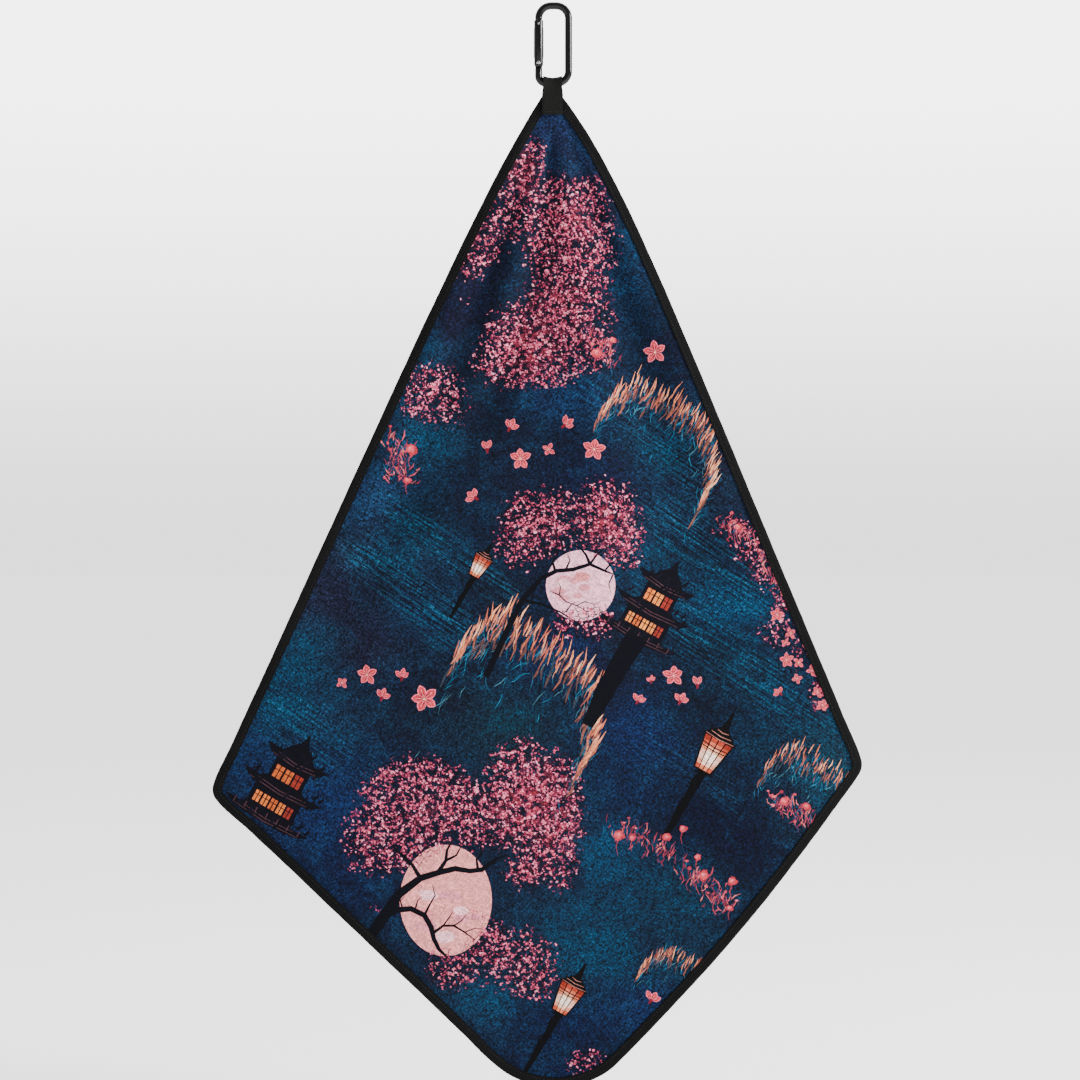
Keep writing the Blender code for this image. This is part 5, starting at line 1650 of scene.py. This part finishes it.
@dataclass
class Carabiner(BentWire):
    """Bent-wire carabiner: body, gate, both pins, and the plunger in the gate."""

    top_bend: float = 9.5 * MM
    nose_z: float = -7.4 * MM
    heel_z: float = -44.8 * MM
    gate_top_z: float = -8.2 * MM
    latch_z: float = -11.0 * MM
    tongue: float = 2.6 * MM
    gap: float = 0.3 * MM
    gate_radius: float = 3.8 * MM
    hinge_pin_radius: float = 1.2 * MM
    latch_pin_radius: float = 0.8 * MM
    latch_lip: float = 1.25 * MM
    latch_dip: float = 0.2 * MM
    bore_radius: float = 1.7 * MM
    hinge_slot_depth: float = 4.4 * MM
    bore_end_wall: float = 3.0 * MM
    plunger_length: float = 4.0 * MM
    plunger_rim: float = 0.3 * MM
    cam_rise: float = 2.0 * MM
    cam_angle: float = math.radians(40)
    bend_step: float = math.radians(3)
    wire_sides: int = 40

    def __post_init__(self) -> None:
        """Read the pivots from the frame, and dress the metals."""
        self.hinge = PIVOTS["gate_hinge"]
        self.bar_z = PIVOTS["towel_swing"].z
        self.heel_half = self.wire_radius - 0.2 * MM
        self.nose_half = self.wire_radius - 0.5 * MM
        self.plunger_radius = self.bore_radius - self.gap
        self.ball_height = self.heel_half + self.gap + self.plunger_radius
        self.enamel = GlossEnamel("carabiner_enamel", "050506", 0.18).material()
        self.gate_enamel = GlossEnamel("gate_enamel", "070708", 0.22).material()
        self.steel = TurnedMetal("pin_steel", "c9c9cc", "77787c", 0.18).material()
        self.brass = TurnedMetal("plunger_brass", "d9b26a", "8c6a34", 0.24).material()
        self.spring_steel = TurnedMetal("spring_steel", "a6a6aa", "5a5a60", 0.25).material()

    def wire_axis(self) -> list[Point]:
        """The bent wire's axis from the nose over the top and down the spine to the heel."""
        quarter = math.pi / 2
        top, foot, heel = self.top_bend, self.spine_foot_bend, self.gate_foot_bend
        top_z = self.wire_radius
        path = [(self.gate_side_x, self.nose_z)]
        path += arc((self.gate_side_x + top, top_z - top), top, 2 * quarter, quarter, self.bend_step)
        path += arc((self.spine_side_x - top, top_z - top), top, quarter, 0, self.bend_step)
        path += arc((self.spine_side_x - foot, self.bar_z + foot), foot, 0, -quarter, self.bend_step)
        path += arc((self.gate_side_x + heel, self.bar_z + heel), heel, -quarter, -2 * quarter,
                    self.bend_step)
        path.append((self.gate_side_x, self.heel_z))
        return path

    def cam_outline(self) -> list[Point]:
        """Heel tongue round the hinge pin, whose cam lifts the plunger as the gate opens."""
        root = -self.gate_radius - 1.6 * MM
        outline = [(-self.heel_half, root)]
        outline += arc((0, 0), self.heel_half, math.pi, math.pi / 2 + 0.2, math.radians(8))
        steps = 16
        for i in range(steps + 1):
            turn = self.cam_angle * i / steps
            height = self.ball_height + self.cam_rise * turn
            centre = Vector((height * math.sin(turn), height * math.cos(turn)))
            tangent = Vector((self.cam_rise * math.sin(turn) + height * math.cos(turn),
                              self.cam_rise * math.cos(turn) - height * math.sin(turn))).normalized()
            spot = centre + (self.plunger_radius + self.gap) * Vector((tangent.y, -tangent.x))
            outline.append((min(spot.x, self.heel_half), spot.y))
        outline.append((self.heel_half, outline[-1][1] - 0.5 * MM))
        outline.append((self.heel_half, root))
        return outline

    def build_body(self) -> Piece:
        """Wire with its flattened nose and heel."""
        path = self.wire_axis()
        rows, normals = [], []
        for i, (x, z) in enumerate(path):
            before, after = path[max(0, i - 1)], path[min(len(path) - 1, i + 1)]
            normals.append(Vector((before[1] - after[1], after[0] - before[0])).normalized())
            rows += [(x + normals[-1].x * self.wire_radius * math.cos(t), self.wire_radius * math.sin(t),
                      z + normals[-1].y * self.wire_radius * math.cos(t))
                     for t in np.arange(self.wire_sides) * 2 * math.pi / self.wire_sides]
        faces = strip_faces(len(path), self.wire_sides, closed_rows=False)
        faces += [tuple(range(self.wire_sides)),
                  tuple(range(len(rows) - 1, len(rows) - 1 - self.wire_sides, -1))]
        body = outward(new_piece("carabiner_body", rows, faces, self.enamel))
        room = self.latch_pin_radius + self.gap
        lip_z = self.latch_z - room - self.latch_dip
        heel = slab("heel", self.cam_outline(), self.tongue, self.hinge)
        nose = block("nose", (self.gate_side_x - self.nose_half, -self.tongue / 2, lip_z - self.latch_lip),
                     (self.gate_side_x + self.nose_half, self.tongue / 2, self.nose_z + MM))
        notch = block("notch", (self.gate_side_x - room, -self.tongue, lip_z),
                      (self.gate_side_x + self.gate_radius, self.tongue, self.latch_z + room))
        hole = self.rod("heel_hole", self.hinge_pin_radius + self.gap, 3 * self.tongue, self.hinge)
        cut(body, ("UNION", heel), ("UNION", nose), ("DIFFERENCE", notch), ("DIFFERENCE", hole))
        return softened(body, 0.12 * MM)

    @staticmethod
    def rod(name: str, radius: float, length: float, centre: Vector, along_y: bool = True,
            steps: int = 32) -> Piece:
        """A round cutter."""
        profile = [(0.0, length / 2), (radius, length / 2), (radius, -length / 2), (0.0, -length / 2)]
        return turned(name, profile, steps, centre, None, along_y)

    @staticmethod
    def foot_profile(radius: float, height: float, rim: float, steps: int) -> list[Point]:
        """Profile of a rod with a rounded top rim and a round foot centred on the origin."""
        profile = [(0.0, height)] + arc((radius - rim, height - rim), rim, math.pi / 2, 0, math.radians(15))
        profile += arc((0, 0), radius, 0, -math.pi / 2, math.pi / 2 / steps)
        return profile[:-1] + [(0.0, -radius)]

    def build_gate(self) -> Piece:
        """Round bar, slotted at both ends, bored for its spring and drilled for its pins."""
        profile = self.foot_profile(self.gate_radius, self.gate_top_z - self.hinge.z, 0.7 * MM, 14)
        gate = turned("gate_bar", profile, 64, self.hinge, self.gate_enamel)
        half_slot = self.tongue / 2 + self.gap
        slot_z = self.latch_z - self.latch_pin_radius - self.latch_lip - 4 * self.gap
        far = 2 * self.gate_radius
        x = self.gate_side_x
        bore_top = slot_z - self.bore_end_wall
        bore_length = bore_top - self.hinge.z
        latch = Vector((x, 0, self.latch_z))
        bore_middle = Vector((x, 0, self.hinge.z + bore_length / 2))
        cut(gate,
            ("DIFFERENCE", block("top_slot", (x - far, -half_slot, slot_z),
                                 (x + far, half_slot, self.gate_top_z + far))),
            ("DIFFERENCE", block("foot_slot", (x - far, -half_slot, self.hinge.z - far),
                                 (x + far, half_slot, self.hinge.z + self.hinge_slot_depth))),
            ("DIFFERENCE", self.rod("bore", self.bore_radius, bore_length, bore_middle, along_y=False)),
            ("DIFFERENCE", self.rod("hinge_hole", self.hinge_pin_radius + self.gap, 2 * far, self.hinge)),
            ("DIFFERENCE", self.rod("latch_hole", self.latch_pin_radius + self.gap, 2 * far, latch)))
        return softened(gate, 0.14 * MM)

    def build_pin(self, name: str, radius: float, half: float, dome: float, centre: Vector) -> Piece:
        """A pin with domed, slightly flattened ends."""
        rise = [(radius * math.cos(t), dome * math.sin(t)) for t in np.linspace(0, math.pi / 2, 8)]
        top = [(r, half + h) for r, h in reversed(rise)]
        profile = [(0.0, top[0][1])] + top[1:] + [(r, -h) for r, h in reversed(top[1:])] + [(0.0, -top[0][1])]
        return turned(name, profile, 40, centre, self.steel, along_y=True)

    def dress_spring(self) -> None:
        """Give the CAD spring its metal and a mesh of its own."""
        spring = frame["nodes"]["gate_spring"]
        spring.data.materials.clear()
        spring.data.materials.append(self.spring_steel)
        low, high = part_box("gate_spring")
        travel = next(joint["range_m"][1] for joint in frame["joints"] if joint["name"] == "plunger_slide")
        keep = 1 - travel / (high.z - low.z)
        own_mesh(spring)

    def build(self) -> list[tuple[Piece, str, str, str]]:
        """Every new piece with its body, its material slot and the node it stands for."""
        latch = Vector((self.gate_side_x, 0, self.latch_z))
        ball = self.hinge + Vector((0, 0, self.ball_height))
        profile = self.foot_profile(self.plunger_radius, self.plunger_length, self.plunger_rim, 10)
        plunger = turned("plunger_pin", profile, 40, ball, self.brass)
        self.dress_spring()
        body, gate = self.build_body(), self.build_gate()
        rivet = self.build_pin("hinge_rivet", self.hinge_pin_radius, self.gate_radius, 0.3 * MM, self.hinge)
        cross_pin = self.build_pin("latch_cross_pin", self.latch_pin_radius, self.gate_radius - 0.2 * MM,
                                   0.1 * MM, latch)
        return [
            (body, "carabiner", "carabiner_enamel", "carabiner_frame"),
            (gate, "gate", "gate_enamel", "gate"),
            (rivet, "carabiner", "pin_steel", "gate_hinge_pin"),
            (cross_pin, "gate", "pin_steel", "gate_latch_pin"),
            (plunger, "plunger", "plunger_brass", "gate_plunger"),
        ]


# --- studio ---
@dataclass
class Studio:
    """Pale floor, pale surroundings, soft lights and the camera."""

    # name, place, width, watts and colour of each light
    LIGHTS = (("key", (2.3, -1.05, 0.75), 0.7, 150.0, (1.0, 0.99, 0.97)),
              ("fill", (-1.3, -2.8, 0.0), 1.8, 6.0, (0.96, 0.98, 1.0)),
              ("top", (0.1, 0.5, 1.6), 1.2, 20.0, (1.0, 1.0, 1.0)))
    lens: float = 85.0
    sensor: float = 36.0
    view_width: float = 0.810
    view_centre: tuple[float, float] = (-0.0094, -0.3979)
    aim_z: float = -0.38
    floor_z: float = -0.86
    floor_size: float = 60.0
    front_glow: float = 0.55
    back_glow: float = 5.2
    floor_glow: float = 2.1

    def build(self) -> None:
        """Set everything up."""
        self.add_world()
        self.add_floor()
        for light in self.LIGHTS:
            self.add_light(*light)
        data = bpy.data.cameras.new("camera")
        data.lens = self.lens
        data.sensor_width = self.sensor
        camera = bpy.data.objects.new("camera", data)
        bpy.context.scene.collection.objects.link(camera)
        distance = self.view_width * self.lens / self.sensor
        camera.location = (self.view_centre[0], -distance, self.view_centre[1])
        camera.rotation_euler = (math.pi / 2, 0.0, 0.0)
        bpy.context.scene.camera = camera

    def add_world(self) -> None:
        """Pale light from all round, brightest from behind the towel so that its front keeps its shading."""
        world = bpy.data.worlds.new("surroundings")
        world.use_nodes = True
        nodes, links = world.node_tree.nodes, world.node_tree.links
        direction = nodes.new("ShaderNodeTexCoord")
        split = nodes.new("ShaderNodeSeparateXYZ")
        links.new(direction.outputs["Generated"], split.inputs[0])
        spans = {"Z": (0.0, 0.2, self.floor_glow, self.back_glow), "Y": (-0.25, 0.7, self.front_glow, 0.0)}
        ranges = {}
        for axis, values in spans.items():
            ranges[axis] = nodes.new("ShaderNodeMapRange")
            ranges[axis].interpolation_type = "SMOOTHSTEP"
            for name, value in zip(("From Min", "From Max", "To Min", "To Max"), values):
                ranges[axis].inputs[name].default_value = value
            links.new(split.outputs[axis], ranges[axis].inputs["Value"])
        links.new(ranges["Z"].outputs["Result"], ranges["Y"].inputs["To Max"])
        links.new(ranges["Y"].outputs["Result"], nodes["Background"].inputs["Strength"])
        nodes["Background"].inputs["Color"].default_value = (1.0, 1.0, 1.0, 1.0)
        bpy.context.scene.world = world

    def add_floor(self) -> None:
        """A wide pale floor just under the towel."""
        half = self.floor_size / 2
        corners = [(-half, -half, self.floor_z), (half, -half, self.floor_z), (half, half, self.floor_z),
                   (-half, half, self.floor_z)]
        recipe = Recipe("pale_floor")
        tone = recipe.noise(recipe.place(), grain=1 / 3) * 0.02 + 0.93
        dress = recipe.finish(Base_Color=recipe.lit((1.0, 1.0, 1.0), tone), Roughness=0.9,
                              Specular_IOR_Level=0.1)
        new_piece("floor", corners, [(0, 1, 2, 3)], dress)

    def add_light(self, name: str, place: Sequence[float], size: float, power: float,
                  colour: Sequence[float]) -> None:
        """A square soft light that looks at the middle of the towel."""
        data = bpy.data.lights.new(name, "AREA")
        data.size = size
        data.energy = power
        data.color = colour
        light = bpy.data.objects.new(name, data)
        bpy.context.scene.collection.objects.link(light)
        light.location = place
        aim = Vector((0.0, 0.0, self.aim_z)) - Vector(place)
        light.rotation_euler = aim.to_track_quat("-Z", "Y").to_euler()


# --- assembly ---
def report(obj: Piece) -> None:
    """Log a finished piece and its size."""
    size = ", ".join(f"{length / MM:.1f}" for length in obj.dimensions)
    LOG.info("%s: %d faces, %s mm", obj.name, len(obj.data.polygons), size)


def dress_body(obj: Piece, body: str, slot: str, *nodes: str) -> None:
    """Put a finished piece on its body, hide the nodes it stands for and log it; slot is not used."""
    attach(obj, body)
    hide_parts(*nodes)
    report(obj)


def build_towel() -> None:
    """The cloth, its binding and seams, and the hanging loop."""
    drape = Drape()
    outline = smooth_loop(silhouette("edge_binding"), 1.5 * MM)
    cloth = TowelCloth(drape, outline).build(NightGarden())
    dress_body(cloth, "towel", "printed_microfibre", "towel_cloth")
    binding = EdgeBinding(drape, outline)
    tape = binding.build()
    dress_body(tape, "towel", "binding_tape", "edge_binding")
    stitches, thread = StitchRun(), SpunThread().material()
    for name, side, node in (("needle_stitches", 1, "binding_needle_thread"),
                             ("bobbin_stitches", -1, "binding_bobbin_thread")):
        seam = stitches.sew(name, binding.seam_path(side), Thread=thread, **StitchRun.SEAM)
        dress_body(seam, "towel", "sewing_thread", node)
    loop = HangingLoop()
    dress_body(loop.build(), "towel", "webbing", "hanging_loop")
    for name, side, node in (("loop_stitches_front", 1, "loop_tack_front"),
                             ("loop_stitches_back", -1, "loop_tack_back")):
        tack = stitches.sew(name, loop.tack_path(side), Thread=thread, **StitchRun.TACK)
        dress_body(tack, "towel", "sewing_thread", node)


def build_carabiner() -> None:
    """The carabiner's pieces, each on its own body."""
    for piece in Carabiner().build():
        dress_body(*piece)


def main() -> None:
    """Build every piece in order."""
    logging.basicConfig(level=logging.INFO, format="%(message)s")
    Studio().build()
    build_carabiner()
    build_towel()


if __name__ == "__main__":
    main()
